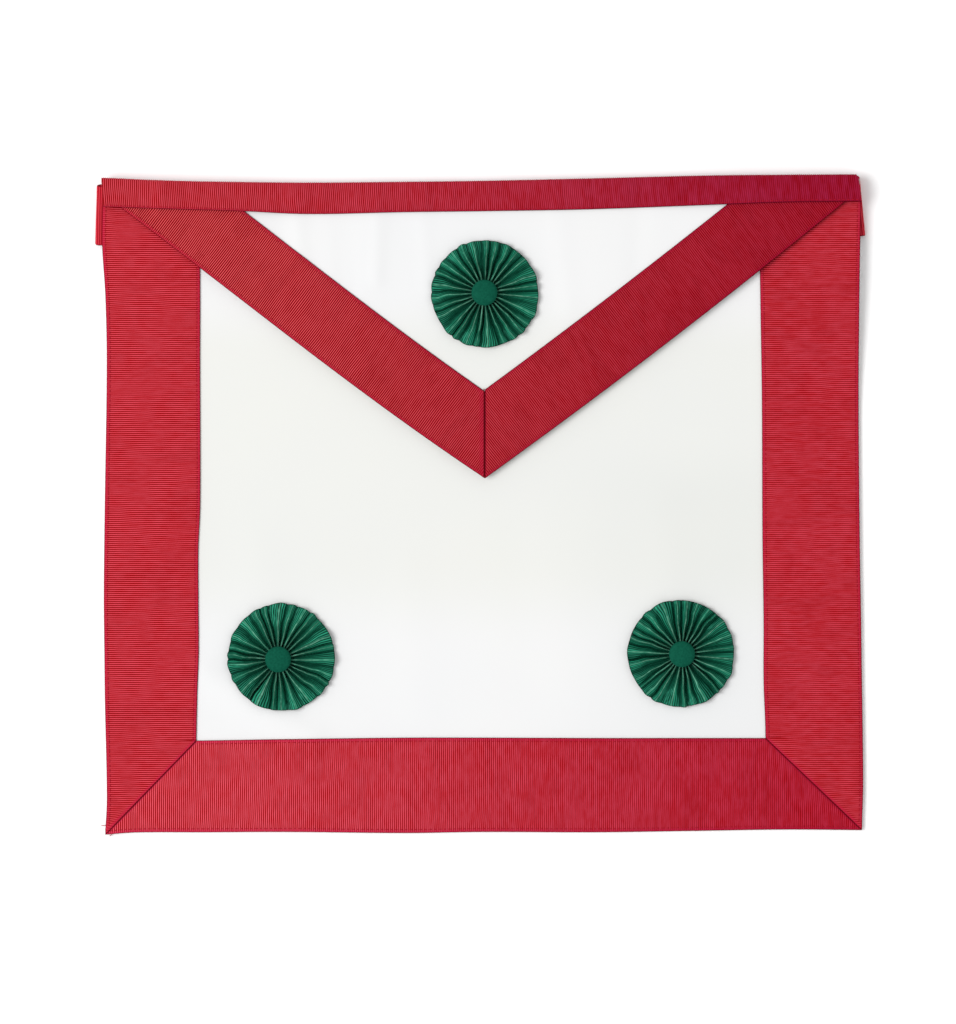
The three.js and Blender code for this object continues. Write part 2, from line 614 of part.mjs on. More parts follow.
function rosettePlace({ name, side }) {
  if (name === "flap") {
    const whiteDepth = FLAP_DEPTH - FLAP_RIBBON_WIDTH / flapLeft.inward.y;
    return { x: FLAP_LEAN, y: bandMiddleFoot - whiteDepth * FLAP_ROSETTE_SHARE, surface: flapTop };
  }
  const { inner } = sideOf(side);
  const nearX = side * (halfWidth - BORDER_WIDTH - ROSETTE_INSET);
  const y = footInner(nearX) + ROSETTE_INSET;
  return { x: inner(y) - side * ROSETTE_INSET, y, surface: panelTop };
}

function rosette(row) {
  const place = rosettePlace(row);
  const [x, y] = [place.x + row.offX * ROSETTE_RADIUS, place.y + row.offY * ROSETTE_RADIUS];
  const { surface } = place;
  const seat = surface(x, y);
  const group = new THREE.Group();
  group.position.set(x, y, seat);
  group.add(pleats(row, (dx, dy) => surface(x + dx, y + dy) - seat), button(row));
  return group;
}

const apron = new THREE.Group();
apron.add(
  bodyPanel(),
  sideBorder("border_left", -1),
  sideBorder("border_right", 1),
  footBorder(),
  flapPanel(),
  flapBorder("flap_border_left", flapLeft),
  flapBorder("flap_border_right", flapRight),
  topBand(),
  ...BELT_FOLDS.map(belt),
  clasp(),
  ...ROSETTES.map(rosette),
);

const box = new THREE.Box3().setFromObject(apron);
const middle = box.getCenter(new THREE.Vector3());
apron.position.set(-middle.x, -middle.y, -box.min.z);

const root = new THREE.Group();
root.add(apron);
export default root;
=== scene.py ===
# %% [markdown]
# # A masonic apron, laid flat
# A lodge apron is a soft white panel with a ribbon border, a pointed flap that hangs from its top edge,
# three pleated rosettes and a belt. Its plain solids are already made. This lesson dresses them as
# cloth: each ribbon gets its cross ribs, each seam its stitches, each rosette its pleats.
# The apron lies on its back, so +Z is out of its front and +Y towards its top edge.

# %% Load the solids
import math
from functools import reduce

import bpy
import numpy as np
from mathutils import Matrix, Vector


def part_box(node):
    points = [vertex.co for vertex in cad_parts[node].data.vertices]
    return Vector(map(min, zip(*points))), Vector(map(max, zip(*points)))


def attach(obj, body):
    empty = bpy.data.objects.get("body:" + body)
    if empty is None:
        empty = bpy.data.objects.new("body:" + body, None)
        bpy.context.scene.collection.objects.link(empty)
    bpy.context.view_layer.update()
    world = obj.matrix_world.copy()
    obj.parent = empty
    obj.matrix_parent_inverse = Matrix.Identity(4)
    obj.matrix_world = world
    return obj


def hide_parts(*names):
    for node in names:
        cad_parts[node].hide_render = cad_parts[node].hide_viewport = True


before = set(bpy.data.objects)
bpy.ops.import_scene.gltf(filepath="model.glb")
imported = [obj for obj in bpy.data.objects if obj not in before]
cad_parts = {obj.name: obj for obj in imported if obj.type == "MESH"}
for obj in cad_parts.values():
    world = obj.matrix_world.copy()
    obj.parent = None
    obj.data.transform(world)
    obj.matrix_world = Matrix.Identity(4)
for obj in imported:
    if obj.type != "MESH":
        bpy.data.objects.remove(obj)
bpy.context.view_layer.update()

# %% [markdown]
# ## The plan
# A pattern cutter draws an apron as a plan: where each edge lies, seen from the front. Cloth is never
# quite straight, so each edge is a table that is read with a smooth curve. The same sizes made the
# solids, so every ribbon that is built on this plan lands on its solid.
# The plan is in millimetres, with y up from the foot, and is turned into metres when a mesh is made.

# %% Sizes of the cloth, in millimetres
MM = 0.001
WIDTH, HEIGHT = 406.4, 351.4
HALF = WIDTH / 2
BORDER_RIBBON, FLAP_RIBBON, BAND = 50.8, 38.7, 15.9
FLAP_DEPTH, FLAP_INSET, FLAP_LEAN, FLAP_BOW, FLAP_STANDOFF = 143.4, 8.9, 1.4, 2.0, 2.2
LEATHER, FLAP_LEATHER, RIBBON, WEBBING, PLATE = 1.4, 1.0, 1.0, 1.0, 1.2
GAP, LEATHER_INSET, TUCK, FOLD_REACH = 0.3, 0.8, 5.0, 2.0
SEAT, DEEPEST = 0.05, 0.3
BELT_WIDTH, BELT_SEWN, BELT_END, BELT_RUN = 31.8, 25.0, 20.0, 430
CLASP_DROP, CLASP_BAR, CLASP_SLOT, CLASP_MIDDLE, CLASP_RIM, CLASP_PLAY = 23.0, 3.0, 3.5, 6.0, 2.2, 0.5
DRAPE, DRAPE_MARGIN = 90.0, 3.0

# %% The four edges: place along the edge, how far out as a share of the width, how wide its ribbon is
LEFT_EDGE = [
    (0, -0.0015, 0.96), (0.05, -0.0035, 0.965), (0.2, -0.0009, 0.983), (0.27, -0.0002, 1),
    (0.35, 0.0005, 0.997), (0.43, 0, 0.996), (0.5, -0.0008, 1.016), (0.72, -0.0035, 1.015),
    (0.82, -0.0018, 1.018), (0.9, 0.0024, 1.014), (1, 0.0005, 1.007),
]
RIGHT_EDGE = [
    (0, 0.0018, 1), (0.07, 0.0034, 1.003), (0.16, 0.0028, 1.008), (0.23, 0.0018, 1.026),
    (0.32, 0.0008, 1.026), (0.45, -0.0011, 1.038), (0.66, -0.0026, 1.044), (0.81, -0.002, 1.062),
    (0.9, -0.0009, 1.071), (1, 0.0005, 1.065),
]
FOOT_EDGE = [
    (0, 0.0051, 0.95), (0.04, 0.0021, 0.95), (0.13, 0.0018, 0.956), (0.24, 0.0014, 0.971),
    (0.4, 0.0028, 0.986), (0.5, 0.0014, 0.986), (0.65, 0.0018, 0.982), (0.78, 0, 0.982),
    (0.9, -0.0018, 0.982), (1, -0.0011, 0.982),
]
TOP_EDGE = [
    (0, -0.0014, 0.99), (0.09, -0.0052, 0.97), (0.18, -0.0069, 0.995), (0.27, -0.0077, 1.07),
    (0.4, -0.0066, 1.034), (0.5, -0.0053, 1.036), (0.64, -0.0022, 1.052), (0.8, 0.0017, 1.004),
    (0.91, 0.0027, 0.935), (1, 0.0032, 0.925),
]


# %% Read a table smoothly, and ease between two heights
def read(rows, column, at):
    table = np.array(rows, float)
    places, values = table[:, 0], table[:, column]
    last = len(rows) - 1
    before, after = (np.clip(np.arange(len(rows)) + step, 0, last) for step in (-1, 1))
    slopes = (values[after] - values[before]) / (places[after] - places[before])
    at = np.clip(at, 0, 1)
    i = np.clip(np.searchsorted(places, at, side="right") - 1, 0, last - 1)
    span = places[i + 1] - places[i]
    t = (at - places[i]) / span
    start = (1 + 2 * t) * (1 - t) ** 2 * values[i] + t * (1 - t) ** 2 * span * slopes[i]
    end = (3 - 2 * t) * t**2 * values[i + 1] - (1 - t) * t**2 * span * slopes[i + 1]
    return start + end


def ease(value, low, high):
    t = np.clip((value - low) / (high - low), 0, 1)
    return t * t * (3 - 2 * t)


def mix(a, b, t):
    return a + (b - a) * t


# %% Where each edge of the plan lies, and where its ribbon ends
def plan_line(rows, column, base, reach):
    long, start = (HEIGHT, 0.0) if rows in (LEFT_EDGE, RIGHT_EDGE) else (WIDTH, 0.5)
    return lambda at: base + reach * read(rows, column, at / long + start)


left_edge, right_edge = plan_line(LEFT_EDGE, 1, -HALF, -WIDTH), plan_line(RIGHT_EDGE, 1, HALF, WIDTH)
left_inner = plan_line(LEFT_EDGE, 2, -HALF, BORDER_RIBBON)
right_inner = plan_line(RIGHT_EDGE, 2, HALF, -BORDER_RIBBON)
foot_edge, foot_inner = plan_line(FOOT_EDGE, 1, 0, -WIDTH), plan_line(FOOT_EDGE, 2, 0, BORDER_RIBBON)
top_edge, band_height = plan_line(TOP_EDGE, 1, HEIGHT, WIDTH), plan_line(TOP_EDGE, 2, 0, BAND)


def band_foot(x):
    return top_edge(x) - band_height(x)


band_middle_foot = float(band_foot(0))
print("the band's lower edge is", round(band_middle_foot, 1), "mm up")

# %% [markdown]
# ## How high each layer lies
# Cloth lies on what is under it. The belt runs flat on the table behind the apron and props its top
# edge up, so the panel comes down from the belt to the table in one long drape. The ribbons lie on the
# panel, the flap on the ribbons, and its own ribbons on the flap.
# Each height is one formula of x and y, so neighbouring layers can't cut through each other.

# %% The belt and its clasp prop up the top edge
clasp_y = HEIGHT - CLASP_DROP
bar_inner = CLASP_MIDDLE / 2 + CLASP_SLOT
bar_outer = bar_inner + CLASP_BAR
clasp_under = WEBBING + GAP
belt_low = WEBBING / 2
belt_high = clasp_under + PLATE + GAP + WEBBING / 2
band_under = belt_high + WEBBING / 2 + GAP
top_lift = band_under + RIBBON + GAP
prop_foot = clasp_y - (BELT_WIDTH / 2 + CLASP_PLAY + CLASP_RIM) - DRAPE_MARGIN
print("the top edge lies", round(top_lift, 1), "mm above the table")

# %% Broad swells and narrow creases of the cloth
# A swell is a place, its reach along and across, its turn and its height. A crease is a line from one
# place to another, how wide it is and how high, or how deep where it is below nought.
PANEL_SWELLS = [
    (40.6, 32.5, 65.0, 34.5, -22, 0.42), (-113.8, 65.0, 73.2, 34.5, -20, 0.49),
    (174.8, 162.6, 81.3, 40.6, 84, 0.42), (-178.8, 170.7, 81.3, 40.6, 92, 0.42),
]
FLAP_SWELLS = [(-73.2, 308.9, 52.8, 32.5, 86, 0.49), (56.9, 300.7, 48.8, 36.6, 96, 0.42)]
PANEL_CREASES = [
    (-150, 84, -92, 50, 8, 0.8), (-140, 60, -60, 34, 9, -0.2), (24, 40, 60, 25, 5, 0.35),
    (-19, 22, -16, 8, 5, -0.3), (-120, 150, -112, 60, 12, 0.2), (95, 175, 105, 95, 12, 0.2),
    (20, 160, 28, 80, 14, -0.15), (-40, 140, -34, 70, 12, 0.15),
]
FLAP_CREASES = [
    (-100, 332, -96, 286, 5, 0.45), (-74, 333, -72, 290, 5, -0.4), (-56, 334, -57, 296, 4, 0.35),
    (-32, 334, -29, 290, 4, 0.2), (40, 334, 46, 280, 6, 0.25), (84, 334, 82, 300, 5, -0.2),
    (-181, 333, -171, 326, 3, -0.5), (-132, 314, -108, 300, 6, -0.4), (-118, 296, -92, 280, 6, 0.3),
    (110, 300, 134, 316, 6, 0.25), (-175, 335, -163, 324, 3, 0.5),
]


def swell(x, y, rows):
    height = 0
    for at_x, at_y, long, wide, turn, high in rows:
        c, s = math.cos(math.radians(turn)), math.sin(math.radians(turn))
        along, across = ((x - at_x) * c + (y - at_y) * s) / long, ((y - at_y) * c - (x - at_x) * s) / wide
        height = height + high * np.maximum(0, 1 - along**2 - across**2) ** 2
    return height


def crease(x, y, rows):
    height = 0
    for x0, y0, x1, y1, wide, high in rows:
        length = math.hypot(x1 - x0, y1 - y0)
        along = ((x - x0) * (x1 - x0) + (y - y0) * (y1 - y0)) / length**2
        across = ((x - x0) * (y1 - y0) - (y - y0) * (x1 - x0)) / length
        past = np.maximum(np.abs(along - 0.5) - 0.5, 0) * length
        height = height + high * np.exp(-((across / wide) ** 2) - (past / wide) ** 2)
    return height


# %% Each layer's underside: each one sits on the layer below it
def panel_under(x, y):
    creases = np.maximum(1.5 * crease(x, y, PANEL_CREASES), -DEEPEST)
    waves = swell(x, y, PANEL_SWELLS) + creases + DEEPEST
    return top_lift * ease(y, prop_foot - DRAPE, prop_foot) + waves * ease(y, -30, 30)


def border_under(x, y):
    return panel_under(x, y) + LEATHER + SEAT


ribbon_step = RIBBON + GAP
climb_end = min(-float(left_inner(HEIGHT)), float(right_inner(HEIGHT))) - 2


def flap_under(x, y):
    corner = ribbon_step * ease(np.abs(x), climb_end - 45, climb_end)
    standoff = FLAP_STANDOFF * ease(band_middle_foot - y, 0, FLAP_DEPTH / 2)
    folds = swell(x, y, FLAP_SWELLS) + np.maximum(1.4 * crease(x, y, FLAP_CREASES), -DEEPEST)
    return border_under(x, y) + GAP + corner + standoff + folds


def flap_ribbon_under(x, y):
    return flap_under(x, y) + FLAP_LEATHER + SEAT


# %% [markdown]
# ## Node helpers
# Geometry Nodes and materials are both trees of small steps. A socket knows which tree it is in, so
# these helpers need only the sockets: plus, times and minus make sums of them in plain words, and feed
# fills a socket with a value or a link. The modifier's result is taken as a plain mesh, so that nothing
# stays live and every piece keeps its place in its mesh.

# %% Add a node and fill its sockets
def shown(sockets, label):
    return next(s for s in sockets if s.name == label and s.enabled)


def feed(into, value):
    if isinstance(value, bpy.types.NodeSocket):
        into.id_data.links.new(value, into)
    else:
        into.default_value = value


def node(tree, kind, sockets=None, **fields):
    made = tree.nodes.new(kind)
    for field, value in fields.items():
        setattr(made, field, value)
    for label, value in (sockets or {}).items():
        feed(made.inputs[label] if isinstance(label, int) else shown(made.inputs, label), value)
    return made


def geo(source, kind, sockets=None, **fields):
    if isinstance(source, bpy.types.NodeSocket):
        source, sockets = source.id_data, {0: source, **(sockets or {})}
    return node(source, "GeometryNode" + kind, sockets, **fields).outputs[0]


# %% Sums of sockets
def tree_of(*values):
    return next(v.id_data for v in values if isinstance(v, bpy.types.NodeSocket))


def calc(operation, *values):
    return node(tree_of(*values), "ShaderNodeMath", dict(enumerate(values)), operation=operation).outputs[0]


def plus(*values):
    return reduce(lambda a, b: calc("ADD", a, b), values)


def times(*values):
    return reduce(lambda a, b: calc("MULTIPLY", a, b), values)


def minus(a, b):
    return calc("SUBTRACT", a, b)


def ranged(value, low, high, to_low=0.0, to_high=1.0):
    sockets = {"Value": value, "From Min": low, "From Max": high, "To Min": to_low, "To Max": to_high}
    return node(value.id_data, "ShaderNodeMapRange", sockets, interpolation_type="SMOOTHSTEP").outputs[0]


# %% Places and noise
def split(vector):
    return node(vector.id_data, "ShaderNodeSeparateXYZ", {0: vector}).outputs


def joined(x, y, z=0.0):
    return node(tree_of(x, y, z), "ShaderNodeCombineXYZ", {0: x, 1: y, 2: z}).outputs[0]


def scaled(vector, factor):
    made = node(vector.id_data, "ShaderNodeVectorMath", {0: vector, "Scale": factor}, operation="SCALE")
    return made.outputs[0]


def noise(place, scale, detail, **more):
    sockets = {"Vector": place, "Scale": scale, "Detail": detail, **more}
    return node(place.id_data, "ShaderNodeTexNoise", sockets).outputs[0]


# %% Steps that only Geometry Nodes have: note a value on the points, draw a chance, merge equal points
def note(geometry, name, vector):
    return geo(geometry, "StoreNamedAttribute", {"Name": name, "Value": vector}, data_type="FLOAT_VECTOR")


def noted(tree, name):
    made = node(tree, "GeometryNodeInputNamedAttribute", {"Name": name}, data_type="FLOAT_VECTOR")
    return shown(made.outputs, "Attribute")


def drawn(low, high, seed, **number):
    sockets = {"Min": low, "Max": high, "Seed": seed, **number}
    return shown(node(seed.id_data, "FunctionNodeRandomValue", sockets, data_type="FLOAT").outputs, "Value")


def merged(geometry):
    return geo(geometry, "MergeByDistance", {"Distance": 1e-6})


# %% Start a Geometry Nodes tree with named sizes, close it, and run it on a piece
SOCKET_KINDS = {float: "NodeSocketFloat", int: "NodeSocketInt", tuple: "NodeSocketVector"}


def new_tree(name, sizes):
    tree = bpy.data.node_groups.new(name, "GeometryNodeTree")
    tree.is_modifier = True
    tree.interface.new_socket("Geometry", in_out="INPUT", socket_type="NodeSocketGeometry")
    for label, value in sizes.items():
        socket = tree.interface.new_socket(label, in_out="INPUT", socket_type=SOCKET_KINDS[type(value)])
        socket.default_value = value
    tree.interface.new_socket("Finish", in_out="INPUT", socket_type="NodeSocketMaterial")
    tree.interface.new_socket("Geometry", in_out="OUTPUT", socket_type="NodeSocketGeometry")
    return tree, node(tree, "NodeGroupInput").outputs


def close_tree(geometry, size):
    tree = geometry.id_data
    painted = geo(geo(geometry, "RealizeInstances"), "SetMaterial", {"Material": size["Finish"]})
    feed(node(tree, "NodeGroupOutput").inputs[0], painted)
    print(tree.name, "tree:", len(tree.nodes), "nodes")


def run_tree(piece, tree, finish, **sizes):
    modifier = piece.modifiers.new(tree.name, "NODES")
    modifier.node_group = tree
    inputs = {s.name: s.identifier for s in tree.interface.items_tree if s.in_out == "INPUT"}
    modifier[inputs["Finish"]] = finish
    for label, value in sizes.items():
        modifier[inputs[label.replace("_", " ").title()]] = value
    made = bpy.data.meshes.new_from_object(piece.evaluated_get(bpy.context.evaluated_depsgraph_get()))
    piece.modifiers.remove(modifier)
    piece.data = made
    made.name = piece.name


# %% [markdown]
# ## Cloth with a wall
# Grosgrain ribbon has thick cross threads, so fine ribs run across it, about 24 to the inch. A picture
# of ribs would do from far away, but real relief also catches the light from the side.
# The tree takes a thin sheet whose points know how far along and across the ribbon they are. It pulls a
# wall out of the sheet, raises the ribs on its front and rolls its edges down. Plain leather uses the
# same tree with ribs of no height.

# %% The cloth tree
RIB_PITCH = 1.06 * MM

cloth_tree, size = new_tree("cloth_wall", {
    "Wall": 1 * MM, "Rib Pitch": RIB_PITCH, "Rib Height": 0.1 * MM, "Edge Roll": 0.3 * MM,
    "Edge Reach": 0.9 * MM, "Wander": 1.6, "Wander Scale": 40.0, "Uneven": 0.08, "Seed": 0,
})
T = cloth_tree
thin = note(merged(size["Geometry"]), "out", geo(T, "InputNormal"))
along, edge, across = split(noted(T, "weave"))

# %% Let the ribs wander a little, as woven threads do, and note where they come to lie
slow = noise(geo(T, "InputPosition"), size["Wander Scale"], 1.0)
drift = times(minus(slow, 0.5), size["Wander"])
thin = note(thin, "weave", joined(plus(along, times(drift, size["Rib Pitch"])), edge, across))
pulled = node(T, "GeometryNodeExtrudeMesh", {"Mesh": thin, "Offset Scale": 0.0, "Individual": False},
              mode="FACES").outputs

# %% The height of the ribs: a wave along the ribbon, with no two ribs quite alike
turns = calc("DIVIDE", along, size["Rib Pitch"])
wave = calc("COSINE", times(turns, 2 * math.pi))
rib_number = calc("FLOOR", plus(turns, 0.5))
chance = drawn(minus(1.0, size["Uneven"]), plus(1.0, size["Uneven"]), size["Seed"], ID=rib_number)
rib = times(wave, chance, size["Rib Height"])
near_edge = minus(1.0, calc("MINIMUM", 1.0, calc("DIVIDE", edge, size["Edge Reach"])))
roll = times(calc("POWER", near_edge, 2.0), size["Edge Roll"])
rise = minus(plus(size["Wall"], rib), roll)

# %% Raise the front, close the back, and keep only the wall's corners sharp
lift = scaled(noted(T, "out"), rise)
front = geo(pulled["Mesh"], "SetPosition", {"Selection": pulled["Top"], "Offset": lift})
both = node(T, "GeometryNodeJoinGeometry")
for half in (geo(thin, "FlipFaces"), front):
    feed(both.inputs[0], half)
smooth = geo(merged(both.outputs[0]), "SetShadeSmooth", {"Shade Smooth": True})
corner = calc("GREATER_THAN", geo(T, "InputMeshEdgeAngle"), 0.9)
crisp = geo(smooth, "SetShadeSmooth", {"Selection": corner, "Shade Smooth": False}, domain="EDGE")
close_tree(crisp, size)

# %% Make a thin sheet from a grid of plan places, and turn it into cloth
clasp_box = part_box("belt_clasp")
shift_x = (clasp_box[0].x + clasp_box[1].x) / 2
shift_y = (clasp_box[0].y + clasp_box[1].y) / 2 - clasp_y * MM


def add_object(name, data):
    made = bpy.data.objects.new(name, data)
    bpy.context.scene.collection.objects.link(made)
    return made


def in_metres(x, y, z):
    places = np.broadcast_arrays(x * MM + shift_x, y * MM + shift_y, z * MM)
    return np.stack(places, -1).reshape(-1, 3).tolist()


def make_cloth(piece, finish, wall, **sizes):
    run_tree(piece, cloth_tree, finish, wall=wall * MM, **sizes)
    piece.data.attributes.remove(piece.data.attributes["out"])
    print(piece.name, sum(len(p.vertices) - 2 for p in piece.data.polygons), "triangles")
    return piece


def cloth(name, x, y, z, along, across, edge, finish, wall, flip=False, **sizes):
    x, y, z, along, across, edge = np.broadcast_arrays(x, y, z, along, across, edge)
    rows, columns = x.shape
    i, j = np.meshgrid(np.arange(rows - 1), np.arange(columns - 1), indexing="ij")
    a = (i * columns + j).ravel()
    faces = np.stack([a, a + columns, a + columns + 1, a + 1], -1)
    piece = add_object(name, bpy.data.meshes.new(name))
    piece.data.from_pydata(in_metres(x, y, z), [], (faces[:, ::-1] if flip else faces).tolist())
    weave = piece.data.attributes.new("weave", "FLOAT_VECTOR", "POINT")
    weave.data.foreach_set("vector", (np.stack([along, edge, across], -1) * MM).astype(np.float32).ravel())
    return make_cloth(piece, finish, wall, **sizes)


# %% [markdown]
# ## Finishes
# The white is smooth soft leather, the red and the green are grosgrain. Each rib of grosgrain has painted
# shade at its foot, where little light gets in, and a painted highlight on its crest, and the dye is never
# quite even.
# The patterns of the weave read what the points carry, so they follow the ribbon round its folds. What
# has no direction, such as leather, reads the piece's own place in space.

# %% Start a finish, blend its colours, and give it a fine relief
def new_finish(name, roughness, specular=0.5):
    material = bpy.data.materials.new(name)
    material.use_nodes = True
    shader = material.node_tree.nodes["Principled BSDF"].inputs
    shader["Roughness"].default_value = roughness
    shader["Specular IOR Level"].default_value = specular
    return material, material.node_tree, shader


def blend_colour(share, dark, light, blend_type="MIX"):
    made = node(tree_of(share, dark, light), "ShaderNodeMix", {"Factor": share}, data_type="RGBA",
                blend_type=blend_type)
    for socket, value in zip([s for s in made.inputs if s.type == "RGBA"], (dark, light)):
        feed(socket, value if isinstance(value, bpy.types.NodeSocket) else (*value, 1))
    return next(s for s in made.outputs if s.type == "RGBA")


def tinted(colour, share, from_tint, to_tint):
    return blend_colour(1.0, colour, blend_colour(share, from_tint, to_tint), "MULTIPLY")


def relief(shader, height, strength, depth):
    made = node(height.id_data, "ShaderNodeBump",
                {"Height": height, "Strength": strength, "Distance": depth * MM})
    feed(shader["Normal"], made.outputs[0])


def own_place(tree):
    return node(tree, "ShaderNodeTexCoord").outputs["Object"]


def carried(tree, name):
    return node(tree, "ShaderNodeAttribute", attribute_name=name).outputs["Vector"]


# %% White leather: fine grain, soft pores, a faint cool and warm drift, a slightly warmer and darker band across the middle, and painted shade towards the lower right
NO_TINT = (1.0, 1.0, 1.0)


def white_leather(name):
    material, tree, shader = new_finish(name, 0.62, 0.3)
    place = own_place(tree)
    x, y, _ = split(place)
    drift = noise(place, 7.0, 3.0)
    colour = blend_colour(drift, (0.7, 0.708, 0.724), (0.752, 0.748, 0.737))
    # A slightly warmer and darker band across the middle of the panel
    middle = times(ranged(y, -0.08, -0.03), ranged(y, 0.08, 0.115, 1.0, 0.0))
    colour = tinted(colour, middle, NO_TINT, (0.957, 0.962, 0.925))
    # Painted shade: the lower right of the panel is made a little darker
    right = times(ranged(x, 0.02, 0.12), ranged(y, 0.0, 0.04, 1.0, 0.0))
    colour = tinted(colour, right, NO_TINT, (0.96, 0.965, 0.965))
    feed(shader["Base Color"], colour)
    grain = node(tree, "ShaderNodeTexVoronoi", {"Vector": place, "Scale": 1100.0}, feature="SMOOTH_F1")
    relief(shader, plus(times(grain.outputs[0], 0.6), noise(place, 2600.0, 4.0)), 0.12, 0.1)
    feed(shader["Roughness"], ranged(drift, 0.3, 0.7, 0.56, 0.68))
    return material


# %% Grosgrain: painted shade between the ribs and a painted highlight on their crests, uneven dye along the threads, and a darker selvedge with painted shade at its very edge
PLAIN_EDGE = 1.7 * MM


def grosgrain(name, colours, painted_light_fade=None, roughness=0.7, specular=0.04, single=0.06, painted_rib_light_right=0.6,
              plain_edge=PLAIN_EDGE, clouds=1.0):
    deep, middle, light, selvedge = colours
    material, tree, shader = new_finish(name, roughness, specular)
    shader["Specular Tint"].default_value = (*[min(1, c / max(light) + 0.1) for c in light], 1)
    weave = carried(tree, "weave")
    along, edge, across = split(weave)
    side = split(own_place(tree))[0]
    wave = calc("COSINE", times(along, 2 * math.pi / RIB_PITCH))
    # Painted light: the ribs' painted shade and highlight are weaker on the right
    painted_rib_light = ranged(side, -0.2, 0.2, 1.0, painted_rib_light_right)
    # Painted shade: the foot of each rib takes the deep colour
    crown = minus(1.0, times(ranged(wave, -0.8, 0.7, 1.0, 0.0), painted_rib_light))
    streak = noise(joined(times(along, 500.0), times(across, 130.0)), 1.0, 2.0)
    cloudy = noise(weave, 38.0, 3.0, Distortion=0.6)
    rib_number = calc("FLOOR", plus(calc("DIVIDE", along, RIB_PITCH), 0.5))
    chance = node(tree, "ShaderNodeTexWhiteNoise", {"W": rib_number}, noise_dimensions="1D").outputs["Value"]
    dye = plus(times(streak, 0.7 - single / 2), times(cloudy, 0.3 - single / 2), times(chance, single))
    body = blend_colour(ranged(dye, 0.3, 0.7, 0.0, clouds), middle, light)
    # Painted highlight: a pale colour on each rib's crest
    painted_highlight_share = times(ranged(wave, 0.2, 1.0), 0.85, painted_rib_light)
    pale = tuple(min(1, 1.1 * c + 0.01) for c in light)
    ribbed = blend_colour(painted_highlight_share, blend_colour(crown, deep, body), pale)
    ribs_show = ranged(edge, plain_edge - 0.6 * MM, plain_edge, 0.45, 1.0)
    # The selvedge is the ribbon's own darker woven edge; the darkest rim in its last half millimetre is
    # painted shade, where the edge rolls down and where two ribbons meet at a seam or mitre
    rim = (0.33 * selvedge[0], 0.33 * selvedge[1], 0.2 * selvedge[2])
    colour = blend_colour(ranged(edge, 0.12 * MM, 0.5 * MM), rim, blend_colour(ribs_show, selvedge, ribbed))
    # Painted light: the whole ribbon is made lighter on the left and darker on the right
    if painted_light_fade:
        colour = tinted(colour, ranged(side, -0.23, 0.23), *painted_light_fade)
    feed(shader["Base Color"], colour)
    threads = calc("SINE", times(across, 2 * math.pi / (0.35 * MM)))
    relief(shader, plus(times(threads, 0.3), noise(weave, 5200.0, 2.0)), 0.35, 0.08)
    return material


# %% The reds: deep (the painted shade at the rib feet), middle and light of the ribs, and the selvedge, with painted light that is lighter on the left and darker on the right
leather_finish = white_leather("white_leather")
RED = ((0.21, 0.0001, 0.0003), (0.475, 0.0098, 0.0145), (0.6, 0.049, 0.072), (0.45, 0.01, 0.042))
DEEP_RED = ((0.13, 0.0, 0.0), (0.39, 0.0025, 0.007), (0.72, 0.097, 0.118), (0.4, 0.008, 0.035))
BELT_RED = ((0.32, 0.006, 0.014), (0.46, 0.02, 0.035), (0.6, 0.036, 0.056), (0.4, 0.014, 0.032))
side_finish = grosgrain("red_side_ribbon", RED, ((1.06, 1.1, 1.13), (0.94, 0.88, 0.97)), painted_rib_light_right=0.8)
foot_finish = grosgrain("red_foot_ribbon", RED, ((1.18, 1.65, 1.6), (0.755, 0.42, 0.72)))
flap_finish = grosgrain("red_flap_ribbon", DEEP_RED, ((1.08, 1.1, 1.03), (0.68, 0.3, 0.62)),
                        painted_rib_light_right=0.5, clouds=0.25)
band_finish = grosgrain("red_band", RED, ((1.0, 1.16, 1.14), (0.527, 0.23, 0.67)), painted_rib_light_right=0.4,
                        plain_edge=0.9 * MM)
belt_finish = grosgrain("red_webbing", BELT_RED, None, 0.75, 0.06, painted_rib_light_right=0.9, plain_edge=0.8 * MM)
print("finishes so far:", [m.name for m in bpy.data.materials])

# %% [markdown]
# ## The white panel and the flap
# Both are single pieces of leather. The panel is the plan's rectangle with its wavy edges, and the
# flap a wide triangle. Each is a grid of places, close enough together for the soft creases that show
# on the real one, with the layer's height at every place.

# %% The body panel
across_panel, up_panel = np.meshgrid(np.linspace(0, 1, 129), np.linspace(0, 1, 113), indexing="ij")
panel_x = (across_panel - 0.5) * WIDTH
panel_y = mix(foot_edge(panel_x) + LEATHER_INSET, top_edge(panel_x) - FOLD_REACH - GAP, up_panel)
panel_x = mix(left_edge(panel_y) + LEATHER_INSET, right_edge(panel_y) - LEATHER_INSET, across_panel)
panel_edge = np.minimum(HALF - np.abs(panel_x), np.minimum(panel_y, HEIGHT - panel_y))
white_panel = cloth("white_panel", panel_x, panel_y, panel_under(panel_x, panel_y), panel_x, panel_y,
                    panel_edge, leather_finish, LEATHER, rib_height=0.0)

# %% The flap's outline: its tip, and its long edges up to the band
tip_x, tip_y = FLAP_LEAN, band_middle_foot - FLAP_DEPTH


